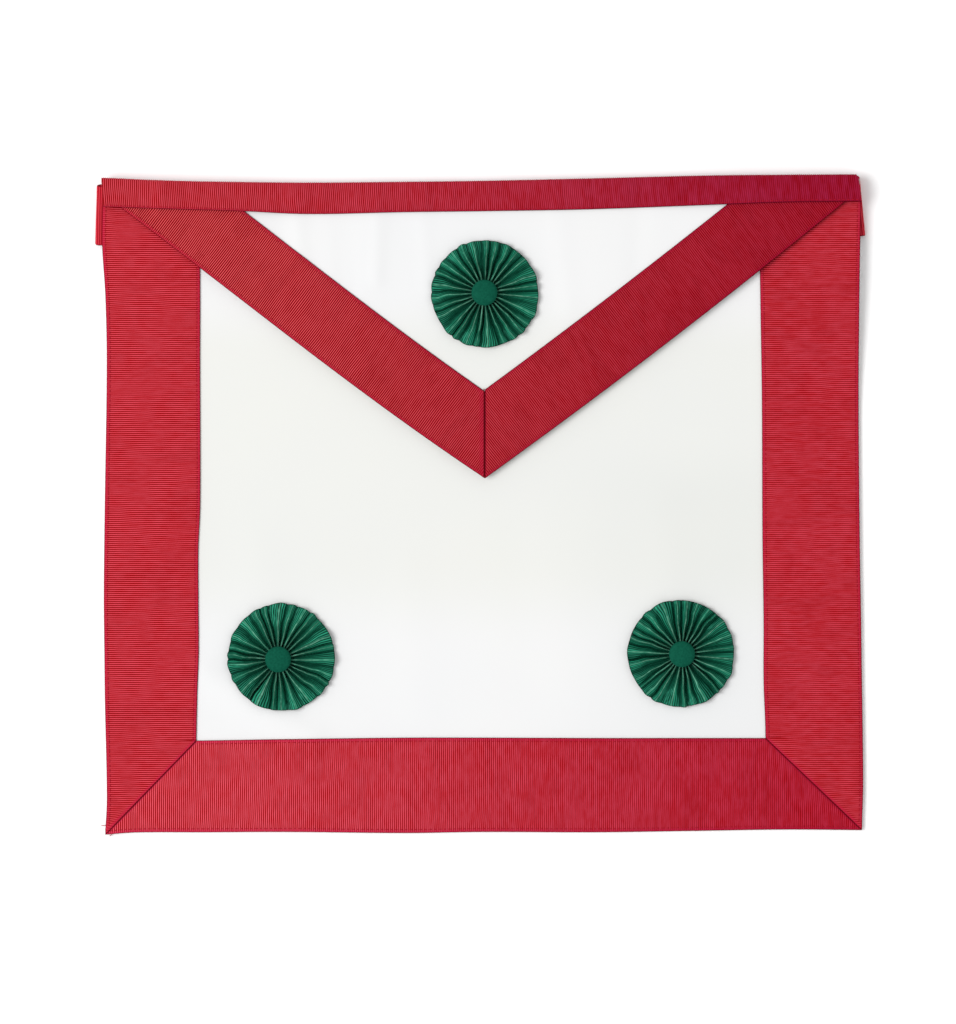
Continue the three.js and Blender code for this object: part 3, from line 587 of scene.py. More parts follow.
class FlapEdge:
    def __init__(self, side):
        at_band = side * (HALF - FLAP_INSET)
        slope = (float(band_foot(at_band)) - tip_y) / abs(at_band - tip_x)
        angle = math.atan(slope)
        self.side = side
        self.head_x, self.head_y = at_band + side * TUCK / slope, float(band_foot(at_band)) + TUCK
        self.in_x, self.in_y = -side * math.sin(angle), math.cos(angle)
        self.inner_at_band = abs(at_band) - FLAP_RIBBON / math.sin(angle)
        self.length = math.hypot(self.head_x - tip_x, self.head_y - tip_y)

    # Both bows reach 1 at their widest, on the left edge two thirds of the way down
    def place(self, s, inset=0.0):
        bowed = 6.75 * s**2 * (1 - s) if self.side < 0 else 4 * s * (1 - s)
        bow = FLAP_BOW * bowed - inset
        return mix(self.head_x, tip_x, s) - self.in_x * bow, mix(self.head_y, tip_y, s) - self.in_y * bow


flap_left, flap_right = FlapEdge(-1), FlapEdge(1)
print("the flap's long edges are", round(flap_left.length), "mm")

# %% The flap, whose rows stop just short of the tip so that none shrinks to a point
u, s = np.meshgrid(np.linspace(0, 1, 121), np.linspace(0, 0.9985, 76), indexing="ij")
(left_x, left_y), (right_x, right_y) = flap_left.place(s, LEATHER_INSET), flap_right.place(s, LEATHER_INSET)
flap_x = mix(left_x, right_x, u)
tuck_wave = band_foot(flap_x) - mix(band_foot(left_x), band_foot(right_x), u)
flap_y = mix(left_y, right_y, u) + (1 - s) ** 2 * tuck_wave
flap = cloth("flap", flap_x, flap_y, flap_under(flap_x, flap_y), flap_x, flap_y, 5.0, leather_finish,
             FLAP_LEATHER, flip=True, rib_height=0.0)

# %% [markdown]
# ## The ribbon border
# Three lengths of ribbon are sewn round the panel and cut on the slant where they meet, which is a
# mitre. A ribbon is a ladder of rows, four to each rib, that run straight across it. Towards a mitre
# the rows get shorter, as the cut ribbon does. Columns crowd at both edges, where the ribbon rolls down.

# %% Columns across a ribbon, closer together at its edges, and rows along it
ROWS_PER_RIB = 4


def across_shares(width, middle=8):
    edges = np.array([0, 0.3, 0.6, 1.0]) / width
    inside = np.linspace(edges[-1], 1 - edges[-1], middle)[1:-1]
    return np.concatenate([edges, inside, 1 - edges[::-1]])


def rows_for(length):
    return int(round(length * MM / RIB_PITCH)) * ROWS_PER_RIB + 1


print("rows in a ribbon as wide as the apron:", rows_for(WIDTH))

# %% The corners, where two ribbons are turned in along a mitre, and one way to make each ribbon
SIDE_LINES = {-1: (left_edge, left_inner), 1: (right_edge, right_inner)}
DIAGONAL, FAR, HAIR, TURN_HEIGHT, TURN_REACH, RIB_HEIGHT = 0.707, 60, 0.05, 0.5, 1.8, 0.16 * MM


def corner_of(side):
    edge_line, inner_line = SIDE_LINES[side]
    outer_x, inner_x = float(edge_line(0)), float(inner_line(BORDER_RIBBON))
    return outer_x, float(foot_edge(outer_x)), inner_x, float(foot_inner(inner_x))


def turned_in(distance):
    return TURN_HEIGHT * np.exp(-((distance / TURN_REACH) ** 4))


def ribbon(name, x, y, z, along, across, near, finish, seed, flip=False):
    return cloth(name, x, y, z, along, across, near, finish, RIBBON - SEAT, flip, rib_height=RIB_HEIGHT,
                 seed=seed)


# %% The two side ribbons
def side_ribbon(name, side, seed):
    edge_line, inner_line = SIDE_LINES[side]
    outer_x, outer_y, inner_x, inner_y = corner_of(side)
    high = float(band_foot(outer_x)) + TUCK
    y = np.linspace(outer_y + HAIR, high, rows_for(high - outer_y))[:, None]
    turn = (inner_y - outer_y) / (high - outer_y)
    climb = (y - outer_y) / (high - outer_y) / turn
    stop = np.where(climb < 1, mix(outer_x, inner_x, np.minimum(climb, 1)), inner_line(y))
    share = across_shares(BORDER_RIBBON)[None, :]
    x = mix(edge_line(y), stop, share)
    wide = np.abs(stop - edge_line(y))
    to_mitre = DIAGONAL * (1 - share) * wide + FAR * (climb >= 1)
    # Towards the mitre the ribbon takes its selvedge colour and the painted shade of its edge
    near = np.minimum(np.minimum(share, 1 - share) * wide, to_mitre)
    under = border_under(x, y) + turned_in(to_mitre) * ease(climb, 0.0, 0.1)
    return ribbon(name, x, y, under, y, x, near, side_finish, seed, flip=side < 0)


border_left = side_ribbon("side_ribbon_left", -1, 1)
border_right = side_ribbon("side_ribbon_right", 1, 2)

# %% The foot ribbon
left_corner, right_corner = corner_of(-1), corner_of(1)
foot_x = np.linspace(left_corner[0] + HAIR, right_corner[0] - HAIR, rows_for(WIDTH))[:, None]
foot_high = foot_inner(foot_x)
for outer_x, outer_y, inner_x, inner_y in (left_corner, right_corner):
    climb = (foot_x - outer_x) / (inner_x - outer_x)
    foot_high = np.where(climb < 1, mix(outer_y, inner_y, climb), foot_high)
foot_share = across_shares(BORDER_RIBBON)[None, :]
foot_y = mix(foot_edge(foot_x), foot_high, foot_share)
foot_near = np.minimum(foot_share, 1 - foot_share) * np.abs(foot_high - foot_edge(foot_x))
border_foot = ribbon("foot_ribbon", foot_x, foot_y, border_under(foot_x, foot_y), foot_x, foot_y, foot_near,
                     foot_finish, 3)


# %% The flap's ribbons run down its long edges and meet at one upright seam, which is turned in
def flap_ribbon(name, edge, seed):
    share = np.linspace(0, 1, rows_for(edge.length))[:, None] * 0.9995
    x, y = edge.place(share)
    to_seam = edge.side * (x - tip_x) / abs(edge.in_x)
    to_tuck = (edge.head_y - y) / edge.in_y
    wide = np.clip(np.minimum(to_seam, to_tuck), 0, FLAP_RIBBON)
    t = across_shares(FLAP_RIBBON)[None, :]
    row_x, row_y = x + edge.in_x * wide * t, y + edge.in_y * wide * t
    near = np.minimum(t, 1 - t) * wide
    under = flap_ribbon_under(row_x, row_y)
    if edge.side < 0:
        beside_seam = np.abs(row_x - tip_x)
        # Along the seam the left ribbon takes its selvedge colour and the painted shade of its edge
        near = np.minimum(near, 0.5 * beside_seam)
        under = under + turned_in(beside_seam) * ease(row_y - tip_y, 0, 4)
    return ribbon(name, row_x, row_y, under, share * edge.length, t * wide, near, flap_finish, seed,
                  flip=edge.side > 0)


flap_ribbon_left = flap_ribbon("flap_ribbon_left", flap_left, 4)
flap_ribbon_right = flap_ribbon("flap_ribbon_right", flap_right, 5)

# %% [markdown]
# ## The band and the belt
# The band is a ribbon folded over the top edge, which hides the raw edges of panel and flap. The belt
# is webbing that folds round at the top corners and runs flat behind the apron to its clasp. Both are
# one strip with a bend in it, so both are swept: a line seen from the side, moved along or across.

# %% The band over the top edge
BAND_LEFT_END, BAND_RIGHT_END = (1.2, 0.2), (-1.3, 0.3)
ribbon_from = min(flap_left.inner_at_band, flap_right.inner_at_band) - 2
band_u = np.linspace(0, 1, rows_for(WIDTH))
band_top_x = mix(-HALF - BAND_LEFT_END[0], HALF + BAND_RIGHT_END[0], band_u)
band_foot_x = mix(-HALF - BAND_LEFT_END[1], HALF + BAND_RIGHT_END[1], band_u)
fold_y = top_edge(band_top_x) - FOLD_REACH - 1.2 * ease(band_top_x, HALF - 3.3, HALF - 1.3)
step_up = ribbon_step * ease(np.abs(band_foot_x), ribbon_from - 40, ribbon_from)
front_z = flap_ribbon_under(band_foot_x, band_middle_foot) + step_up + GAP
back_z = np.full_like(front_z, band_under + RIBBON)
band_lower_y = band_foot(band_foot_x)


def band_rows():
    for t in (0, 0.022, 0.045, 0.08, 0.5, 1.0):
        yield mix(band_foot_x, band_top_x, t), mix(band_lower_y, fold_y, t), front_z
    for angle in np.linspace(0.5, -0.5, 9)[1:-1] * math.pi:
        z = (front_z + back_z) / 2 + (front_z - back_z) / 2 * math.sin(angle)
        yield band_top_x, fold_y + (FOLD_REACH - RIBBON) * math.cos(angle), z
    for t in (1.0, 0.045, 0):
        yield mix(band_foot_x, band_top_x, t), mix(band_lower_y, fold_y, t), back_z


band_x, band_y, band_z = (np.stack(rows, -1) for rows in zip(*band_rows()))
band_across = np.abs(band_y - band_lower_y[:, None])
band_near = np.minimum(band_across, 0.5 * np.abs(fold_y[:, None] + FOLD_REACH - band_y) + HAIR)
top_band = cloth("top_band_ribbon", band_x, band_y, band_z, band_foot_x[:, None], band_across, band_near,
                 band_finish, RIBBON, rib_height=0.15 * MM, seed=6)


# %% One belt half, from the side: the sewn end, the fold at the corner, the run to the clasp, the end
def belt_line(fold_reach):
    radius = (belt_high - belt_low) / 2
    fold_at = fold_reach - WEBBING / 2 - radius
    turn = np.linspace(0.5, -0.5, 15) * math.pi
    line = [(fold_at - BELT_SEWN, belt_high)]
    line += [(fold_at + radius * math.cos(a), belt_low + radius + radius * math.sin(a)) for a in turn]
    line += [(bar_inner - radius * math.cos(a), belt_low + radius - radius * math.sin(a)) for a in turn]
    off_bar, end_z = bar_outer + GAP, belt_low + WEBBING + GAP
    line += [(off_bar, belt_high), (off_bar + 2 * radius, end_z), (bar_outer + BELT_END, end_z)]
    return np.array(line)


def belt_half(name, side, reach_top, reach_foot, drop, skew, seed):
    share = across_shares(BELT_WIDTH, 6)
    strips = []
    for t in share:
        line = belt_line(HALF + mix(reach_top, reach_foot, t))
        steps = np.concatenate([[0], np.cumsum(np.hypot(*np.diff(line, axis=0).T))])
        at = np.linspace(0, steps[-1], rows_for(steps[-1]))[: rows_for(BELT_RUN)]
        strips.append((at, np.interp(at, steps, line[:, 0]), np.interp(at, steps, line[:, 1])))
    rows = min(len(s[0]) for s in strips)
    at, reach, z = (np.stack([s[k][:rows] for s in strips], -1) for k in range(3))
    step_out, step_up = np.gradient(reach, axis=0), np.gradient(z, axis=0)
    long = np.hypot(step_out, step_up)
    reach, z = reach + step_up / long * WEBBING / 2, z - step_out / long * WEBBING / 2
    lower = np.clip((belt_high - z) / (belt_high - belt_low), 0, 1)
    middle_y = mix(clasp_y, HEIGHT - drop - BELT_WIDTH / 2 + skew * lower, reach / HALF)
    y = middle_y + (0.5 - share[None, :]) * BELT_WIDTH
    near = np.minimum(share, 1 - share)[None, :] * BELT_WIDTH
    return cloth(name, side * reach, y, z, at, share[None, :] * BELT_WIDTH, near, belt_finish, WEBBING,
                 flip=side > 0, rib_height=0.13 * MM, seed=seed)


belt_left = belt_half("belt_half_left", -1, 3.9, 4.8, 5.4, 1.7, 7)
belt_right = belt_half("belt_half_right", 1, -0.5, 2.5, 0.0, 0.0, 8)

# %% [markdown]
# ## Pleated rosettes
# A rosette is a strip of ribbon whose one edge is gathered into small folds round a button. Near the
# button the folds stand up as narrow ridges with deep valleys. Towards the rim the ribbon has more room,
# so they open into broad plates. Where the strip's ends meet, one pleat is wider than the rest.
# That is a shape with a rule, so a tree makes it: a flat grid is bent round a circle, each pleat gets its
# own width, height and lean from a seed, and the points are told where on the ribbon they are, so that
# the cloth tree can add its ribs.

# %% Sizes of a rosette, in millimetres
RIM_RADIUS, HOLE_RADIUS, RIM_RISE, PLEAT_DEPTH, PLEAT_WALL, THIN_RIBBON = 29.0, 3.5, 1.6, 2.6, 1.2, 0.35
ROSETTE_INSET, FLAP_ROSETTE_SHARE = 44.5, 0.466
BUTTON_RADIUS, BUTTON_DOME, BUTTON_EDGE, BUTTON_ROLL, SHANK_RADIUS = 7.0, 2.8, 0.6, 0.9, 1.6

# %% The pleat tree: where each pleat starts and ends round the rosette
pleat_tree, size = new_tree("pleated_strip", {
    "Pleats": 27, "Ribs Per Pleat": 8, "Rim Radius": RIM_RADIUS * MM, "Hole Radius": HOLE_RADIUS * MM,
    "Depth": PLEAT_DEPTH * MM, "Rise": RIM_RISE * MM, "Notch": 0.45 * MM, "Uneven": 0.34, "Seam Pleat": 20,
    "Seam Width": 0.25, "Crooked": 0.6, "Crumple": 2.4 * MM, "Turn": 0.0, "Lean": (0.0, 0.0, 0.0), "Seed": 0,
})
T, ROWS_ACROSS_PLEAT = pleat_tree, 31
columns = times(size["Ribs Per Pleat"], ROWS_PER_RIB, size["Pleats"])
grid = geo(T, "MeshGrid", {"Size X": 1.0, "Size Y": 1.0, "Vertices X": plus(columns, 1.0),
                           "Vertices Y": ROWS_ACROSS_PLEAT})
place = split(geo(T, "InputPosition"))
around = calc("MAXIMUM", times(plus(place[0], 0.5), size["Pleats"]), 0.0)
outward = plus(place[1], 0.5)
number = calc("FLOOR", plus(around, 1e-4))
inside = calc("MAXIMUM", minus(around, number), 0.0)


def dice(number, low, high, extra):
    return drawn(low, high, plus(size["Seed"], extra), ID=calc("MODULO", number, size["Pleats"]))


def fold_line(number):
    which = calc("MODULO", number, size["Pleats"])
    shift = times(dice(number, -1.0, 1.0, 0), size["Uneven"])
    opening = calc("COMPARE", which, size["Seam Pleat"], 0.1)
    closing = calc("COMPARE", which, plus(size["Seam Pleat"], 1.0), 0.1)
    seam = times(minus(closing, opening), size["Seam Width"])
    return plus(number, times(plus(shift, seam), ranged(outward, 0.0, 0.9, 0.35, 1.0)))


# %% Each fold bends its own way, but not where the ring is closed
def wrinkle(turned, finer_round, finer_out, apart, detail, strength):
    looked = joined(times(turned, finer_round), times(outward, finer_out), times(size["Seed"], apart))
    return times(minus(noise(looked, 1.0, detail), 0.5), times(strength, ends))


start, stop = fold_line(number), fold_line(plus(number, 1.0))
ends = calc("SINE", times(calc("DIVIDE", around, size["Pleats"]), math.pi))
ends = calc("MINIMUM", times(ends, 4.0), 1.0)
turned = plus(start, times(minus(stop, start), inside))
bend = wrinkle(turned, 0.45, 2.2, 3.7, 1.0, size["Crooked"])
turned = plus(turned, times(bend, ranged(outward, 0.1, 0.6)))
angle = plus(times(calc("DIVIDE", turned, size["Pleats"]), 2 * math.pi), size["Turn"])


# %% The pleat's cross section: a narrow ridge at the button, a broad plate at the rim
def curve_of(value, points):
    made = node(value.id_data, "ShaderNodeFloatCurve", {"Value": value})
    line = made.mapping.curves[0]
    while len(line.points) < len(points):
        line.points.new(0.5, 0.5)
    for point, place in zip(line.points, points):
        point.location = place
    made.mapping.update()
    return made.outputs[0]


skewed = calc("POWER", inside, calc("POWER", 2.0, dice(number, -0.55, 0.55, 1)))
slope = minus(1.0, calc("ABSOLUTE", minus(times(skewed, 2.0), 1.0)))
slope = calc("MAXIMUM", slope, 0.0)
sharpness = ranged(plus(outward, dice(number, -0.12, 0.12, 2)), 0.15, 0.9, 1.5, 0.8)
soft = times(calc("SINE", times(slope, math.pi / 2)), 0.4)
ridge = calc("POWER", plus(times(slope, 0.6), soft), sharpness)
deep = curve_of(outward, [(0, 0.5), (0.14, 0.62), (0.27, 1.0), (0.5, 0.97), (0.75, 0.74), (1, 0.44)])
own = plus(1.0, times(dice(number, -0.6, 0.45, 3), ranged(outward, 0.2, 1.0)))
fold_height = times(ridge, deep, own)

# %% Bend the grid round, tell the points where on the ribbon they are, and close the ring
reach = minus(size["Rim Radius"], size["Hole Radius"])
radius = plus(size["Hole Radius"], times(reach, outward))
to_rim = calc("POWER", outward, 3.0)
trimmed = minus(radius, times(minus(1.0, ridge), size["Notch"], to_rim))
trimmed = plus(trimmed, times(dice(number, -0.6 * MM, 0.4 * MM, 4), times(ridge, to_rim)))
crumpled = wrinkle(turned, 2.6, 5.0, 5.3, 2.0, size["Crumple"])
z = plus(times(size["Rise"], ranged(outward, 0.2, 1.0)), times(fold_height, size["Depth"]))
z = plus(z, times(crumpled, ranged(outward, 0.35, 0.8)))
bent = node(T, "ShaderNodeVectorMath", {
    0: joined(times(trimmed, calc("COSINE", angle)), times(trimmed, calc("SINE", angle)), z),
    1: scaled(size["Lean"], minus(1.0, outward))}, operation="ADD").outputs[0]
rim_near = times(minus(1.0, outward), reach)
strip = note(grid, "weave", joined(times(around, size["Ribs Per Pleat"], RIB_PITCH), rim_near, rim_near))
strip = note(strip, "fold", joined(ridge, outward, dice(number, 0.0, 1.0, 5)))
close_tree(merged(geo(strip, "SetPosition", {"Position": bent})), size)

# %% [markdown]
# ## Green finishes
# The rosettes are the same grosgrain in dark green. Where their folds are rubbed the dye is paler, and the
# valleys get painted shade, nearly black. The pleat tree has noted how high on its fold each point lies, so
# one more layer of colour over the woven one can follow the folds, with painted highlights on the crests.
# The buttons are covered in plain cloth, whose threads cross: two waves at right angles.

# %% Green grosgrain, with painted shade in the pleat valleys, painted highlights on the crests, paler where the folds are rubbed, and painted light that is lighter on the left
GREEN = ((0.0005, 0.009, 0.005), (0.0005, 0.045, 0.024), (0.014, 0.23, 0.13), (0.001, 0.044, 0.024))
green_finish = grosgrain("green_grosgrain", GREEN, ((1.03, 1.03, 1.03), (0.84, 0.87, 0.88)), 0.34, 0.3,
                         single=0.7, painted_rib_light_right=0.85, plain_edge=0.8 * MM)


def rub_folds(material, painted_valley_shade, rubbed, painted_crest_highlight):
    tree = material.node_tree
    colour = tree.nodes["Principled BSDF"].inputs["Base Color"]
    woven = colour.links[0].from_socket
    ridge, outward, own = split(carried(tree, "fold"))
    inner = ranged(outward, 0.3, 0.75, 1.0, 0.0)
    # Painted shade: the pleat valleys go nearly black
    dark = times(ranged(ridge, 0.05, 0.75, 1.0, 0.0), ranged(inner, 0, 1, 0.85, 0.8))
    shaded = blend_colour(times(dark, 0.75), woven, painted_valley_shade)
    worn = blend_colour(times(ranged(ridge, 0.7, 0.95), inner, 0.5), shaded, rubbed)
    # Painted highlight: thin pale lines along the fold crests, broken up by a noise
    patchy = noise(joined(times(own, 90.0), times(outward, 9.0)), 1.0, 2.0)
    painted_highlight_share = times(ranged(ridge, 0.92, 0.99), ranged(outward, 0.5, 0.95, 1.0, 0.4),
                  ranged(patchy, 0.35, 0.65, 0.3, 1.0))
    feed(colour, blend_colour(painted_highlight_share, worn, painted_crest_highlight))


# Painted valley shade, rubbed fold colour and painted crest highlight
rub_folds(green_finish, (0.0005, 0.017, 0.01), (0.061, 0.149, 0.105), (0.16, 0.4, 0.28))


# %% The buttons' cloth
def button_cloth(name):
    material, tree, shader = new_finish(name, 0.8, 0.06)
    place = own_place(tree)
    x, y, _ = split(place)
    warp, weft = (calc("SINE", times(way, 2 * math.pi / (0.45 * MM))) for way in (x, y))
    share = plus(times(warp, weft, 0.2), noise(place, 900.0, 3.0))
    share_light = ranged(share, 0.25, 0.75)
    feed(shader["Base Color"], blend_colour(share_light, (0.001, 0.06, 0.035), (0.0035, 0.088, 0.051)))
    relief(shader, share, 0.4, 0.12)
    return material


button_finish = button_cloth("green_button_cloth")


# %% Make a pleated rosette, and lay it on the cloth that carries it
def lay_on(piece, centre_x, centre_y, top):
    count = len(piece.data.vertices)
    places = np.empty(count * 3, np.float32)
    piece.data.vertices.foreach_get("co", places)
    places = places.reshape(-1, 3).astype(float)
    plan_x, plan_y = places[:, 0] / MM + centre_x, places[:, 1] / MM + centre_y
    places[:, 2] += (top(plan_x, plan_y) + 0.1) * MM
    places[:, :2] += (centre_x * MM + shift_x, centre_y * MM + shift_y)
    piece.data.vertices.foreach_set("co", places.astype(np.float32).ravel())
    piece.data.update()


def rosette(name, pleats, turn, seam_pleat, seed, centre, lean, top):
    piece = add_object(name, bpy.data.meshes.new(name))
    run_tree(piece, pleat_tree, green_finish, pleats=pleats, turn=math.radians(turn), seam_pleat=seam_pleat,
             lean=[lean[0] * RIM_RADIUS * MM, lean[1] * RIM_RADIUS * MM, 0], seed=seed,
             depth=(PLEAT_DEPTH + PLEAT_WALL - THIN_RIBBON) * MM)
    make_cloth(piece, green_finish, THIN_RIBBON, rib_height=0.14 * MM, edge_roll=0.0,
               edge_reach=0.4 * MM, uneven=0.6, wander=0.5, seed=seed)
    lay_on(piece, *centre, top)
    return piece


# %% Where the three rosettes sit, how their middles lean, and what carries them
def flap_top(x, y):
    return flap_under(x, y) + FLAP_LEATHER


def panel_top(x, y):
    return panel_under(x, y) + LEATHER


flap_white = FLAP_DEPTH - FLAP_RIBBON / flap_left.in_y
flap_centre = (FLAP_LEAN, band_middle_foot - flap_white * FLAP_ROSETTE_SHARE)
side_centres = []
for side, off_x, off_y in ((-1, -0.001, -0.016), (1, 0.003, 0.031)):
    y = float(foot_inner(side * (HALF - BORDER_RIBBON - ROSETTE_INSET))) + ROSETTE_INSET
    x = float(SIDE_LINES[side][1](y)) - side * ROSETTE_INSET
    side_centres.append((x + off_x * RIM_RADIUS, y + off_y * RIM_RADIUS))
ROSETTES = {
    "flap": (flap_centre, (-0.01, 0.02), flap_top), "left": (side_centres[0], (-0.06, -0.04), panel_top),
    "right": (side_centres[1], (0.02, -0.01), panel_top),
}
PLEATS = {"flap": (27, 2, 20, 11), "left": (26, 5, 17, 12), "right": (27, 0, 8, 13)}
rosettes = {at: rosette("rosette_" + at, *PLEATS[at], *ROSETTES[at]) for at in ROSETTES}

# %% [markdown]
# ## Covered buttons
# A covered button is a low metal dome with cloth drawn in under its edge, on a short shank. It has no
# pattern that repeats, so it needs no tree: its profile is turned round its axis, as on a lathe.

# %% The covered buttons: a low dome turned round its axis, with the cloth drawn in under its edge
def button(name, centre, lean, top):
    under = PLEAT_WALL + 0.5 * PLEAT_DEPTH + 2 * GAP
    rim = [(math.cos(a), math.sin(a)) for a in np.linspace(-0.5, 0, 5)[1:] * math.pi]
    dome = [(math.cos(a), math.sin(a)) for a in np.linspace(0, 0.5, 12)[1:] * math.pi]
    flat, crown = BUTTON_RADIUS - BUTTON_ROLL, BUTTON_DOME - BUTTON_EDGE
    profile = [(SHANK_RADIUS, GAP), (SHANK_RADIUS, under), (flat, under)]
    profile += [(flat + BUTTON_ROLL * c, under + BUTTON_EDGE + BUTTON_EDGE * s) for c, s in rim]
    profile += [(BUTTON_RADIUS * c**0.8, under + BUTTON_EDGE + crown * s**1.15) for c, s in dome[:-1]]
    steps = 64
    turn = np.linspace(0, 2 * math.pi, steps, endpoint=False)
    rings = [(r * math.cos(a), r * math.sin(a), z) for r, z in profile for a in turn]
    places = [(0, 0, GAP), *rings, (0, 0, under + BUTTON_DOME)]
    last = len(places) - 1
    step = [(i, (i + 1) % steps) for i in range(steps)]
    faces = [(0, 1 + j, 1 + i) for i, j in step]
    for low in range(1, last - steps, steps):
        faces += [(low + i, low + j, low + steps + j, low + steps + i) for i, j in step]
    faces += [(last - steps + i, last - steps + j, last) for i, j in step]
    piece = add_object(name, bpy.data.meshes.new(name))
    shift = np.array([lean[0] * RIM_RADIUS, lean[1] * RIM_RADIUS, 0])
    piece.data.from_pydata(((np.array(places) + shift) * MM).tolist(), [], faces)
    piece.data.shade_smooth()
    piece.data.materials.append(button_finish)
    seat = float(top(centre[0], centre[1]))
    lay_on(piece, *centre, lambda x, y: seat)
    return piece


buttons = {at: button("button_" + at, *ROSETTES[at]) for at in ROSETTES}

# %% [markdown]
# ## Stitches and seams
# Each ribbon is sewn down with a straight stitch nearly two millimetres inside its edges, and the two
# flap ribbons and the mitres are sewn together along a seam of near-black thread, real stitching darkened
# as painted shade in the seam's gap. A stitch is a short grain of thread that dips into the cloth at both
# ends. One tree strings such grains along any line: it divides the line into equal steps and puts a grain
# at each, turned along the line.

# %% The stitch tree
stitch_tree, size = new_tree("stitches", {
    "Step": 2.6 * MM, "Stitch": 2.0 * MM, "Thread": 0.24 * MM, "Seed": 0,
})
T = stitch_tree
steps = geo(geo(size["Geometry"], "MeshToCurve"), "ResampleCurve", {"Length": size["Step"]}, mode="LENGTH")
grain = geo(T, "MeshUVSphere", {"Segments": 6, "Rings": 4, "Radius": 1.0})
turned = node(T, "FunctionNodeAlignRotationToVector", {"Vector": geo(T, "InputTangent")}, axis="X").outputs[0]
long = times(size["Stitch"], 0.5, drawn(0.85, 1.12, size["Seed"]))
placed = geo(steps, "InstanceOnPoints", {"Instance": grain, "Rotation": turned,
                                         "Scale": joined(long, size["Thread"], size["Thread"])})
close_tree(geo(placed, "SetShadeSmooth", {"Shade Smooth": True}), size)


def thread_finish(name, dark, light):
    material, tree, shader = new_finish(name, 0.6, 0.05)
    ply = noise(own_place(tree), 1800.0, 2.0)
    feed(shader["Base Color"], blend_colour(ply, dark, light))
    relief(shader, ply, 0.2, 0.03)
    return material


red_thread = thread_finish("red_thread", (0.3, 0.004, 0.014), (0.42, 0.008, 0.024))
# The seam thread is near black: real stitching, darkened as painted shade in the seam's gap
seam_thread_darkened_as_shade = thread_finish("seam_thread_darkened_as_shade", (0.08, 0.001, 0.003), (0.2, 0.003, 0.008))


# %% Sew along lines on the plan
SEAM_INSET, SEAM_LIFT = 1.85, 0.08


def sewn(name, lines, finish, **sizes):
    piece = add_object(name, bpy.data.meshes.new(name))
    places, edges = [], []
    for line in lines:
        start = len(places)
        places += in_metres(*line)
        edges += [(k, k + 1) for k in range(start, len(places) - 1)]
    piece.data.from_pydata(places, edges, [])
    run_tree(piece, stitch_tree, finish, **sizes)
    print(name, len(piece.data.polygons), "faces")
    return piece


def on_border(x, y, lift=SEAM_LIFT):
    return x, y, border_under(x, y) + RIBBON + lift


# %% The stitches inside both edges of each ribbon
border_lines = []
for side, (edge_line, inner_line) in SIDE_LINES.items():
    _, outer_y, _, inner_y = corner_of(side)
    for line, inward, from_y in ((inner_line, side, inner_y + 1), (edge_line, -side, outer_y + 3)):
        y = np.linspace(from_y, HEIGHT - BAND, 240)
        border_lines.append(on_border(line(y) + inward * SEAM_INSET, y))
for line, inward, k in ((foot_inner, -1, 2), (foot_edge, 1, 0)):
    x = np.linspace(left_corner[k] + 3, right_corner[k] - 3, 260)
    border_lines.append(on_border(x, line(x) + inward * SEAM_INSET))
border_stitches = sewn("border_stitches", border_lines, red_thread, seed=21)

flap_lines = []
for edge in (flap_left, flap_right):
    for inset, begin, until in ((SEAM_INSET, 0.06, 0.985), (FLAP_RIBBON - SEAM_INSET, 0.24, 0.79)):
        x, y = edge.place(np.linspace(begin, until, 200), inset)
        flap_lines.append((x, y, flap_ribbon_under(x, y) + RIBBON + SEAM_LIFT))
flap_stitches = sewn("flap_stitches", flap_lines, red_thread, seed=22)

# %% The dark seams, whose near-black thread is painted shade in the seam's gap: one above the flap's tip, and one along each mitre
y = np.linspace(tip_y + 1.5, tip_y + FLAP_RIBBON / flap_left.in_y - 0.5, 120)
x = np.full_like(y, tip_x - 0.5)
seam_line = (x, y, flap_ribbon_under(x, y) + RIBBON + 0.45)
seam_stitches = sewn("flap_seam_stitches", [seam_line], seam_thread_darkened_as_shade, seed=24, step=1.3 * MM,
                     stitch=1.15 * MM, thread=0.36 * MM)

run = np.linspace(0.03, 0.985, 120)
mitre_lines = [on_border(mix(corner[0], corner[2], run), mix(corner[1], corner[3], run) - 0.2, 0.3)
               for corner in (left_corner, right_corner)]
mitre_stitches = sewn("mitre_stitches", mitre_lines, seam_thread_darkened_as_shade, seed=26, step=1.2 * MM,
                      stitch=1.1 * MM, thread=0.24 * MM)

# %% The band's row of stitches, and two loose ends of thread at the lower left corner
x = np.linspace(-HALF + 2, HALF - 2, 300)
band_line = (x, band_foot(x) + 1.0, np.interp(x, band_foot_x, front_z) + RIBBON + SEAM_LIFT)
band_stitches = sewn("band_stitches", [band_line], red_thread, seed=23, step=2.4 * MM, thread=0.26 * MM)

corner_x, corner_y = left_corner[:2]
run = np.linspace(0, 1, 12)
loose_lines = [(corner_x - 1.9 + 3.4 * run, corner_y + 4.8 + 0.3 * run, 1.0 + 0.4 * run),
               (corner_x + 2.5 + 1.6 * run, corner_y - 0.6 + 1.6 * run, 0.7 + 0.6 * run)]
loose_ends = sewn("loose_thread_ends", loose_lines, red_thread, seed=25, step=0.5 * MM, stitch=0.9 * MM,
                  thread=0.2 * MM)

# %% [markdown]
# ## The clasp
# The belt's clasp is behind the apron, a plain plate with a slot for each belt half. The solid has the
# right shape already, so it stays and only gets a metal finish with a fine brushed grain.

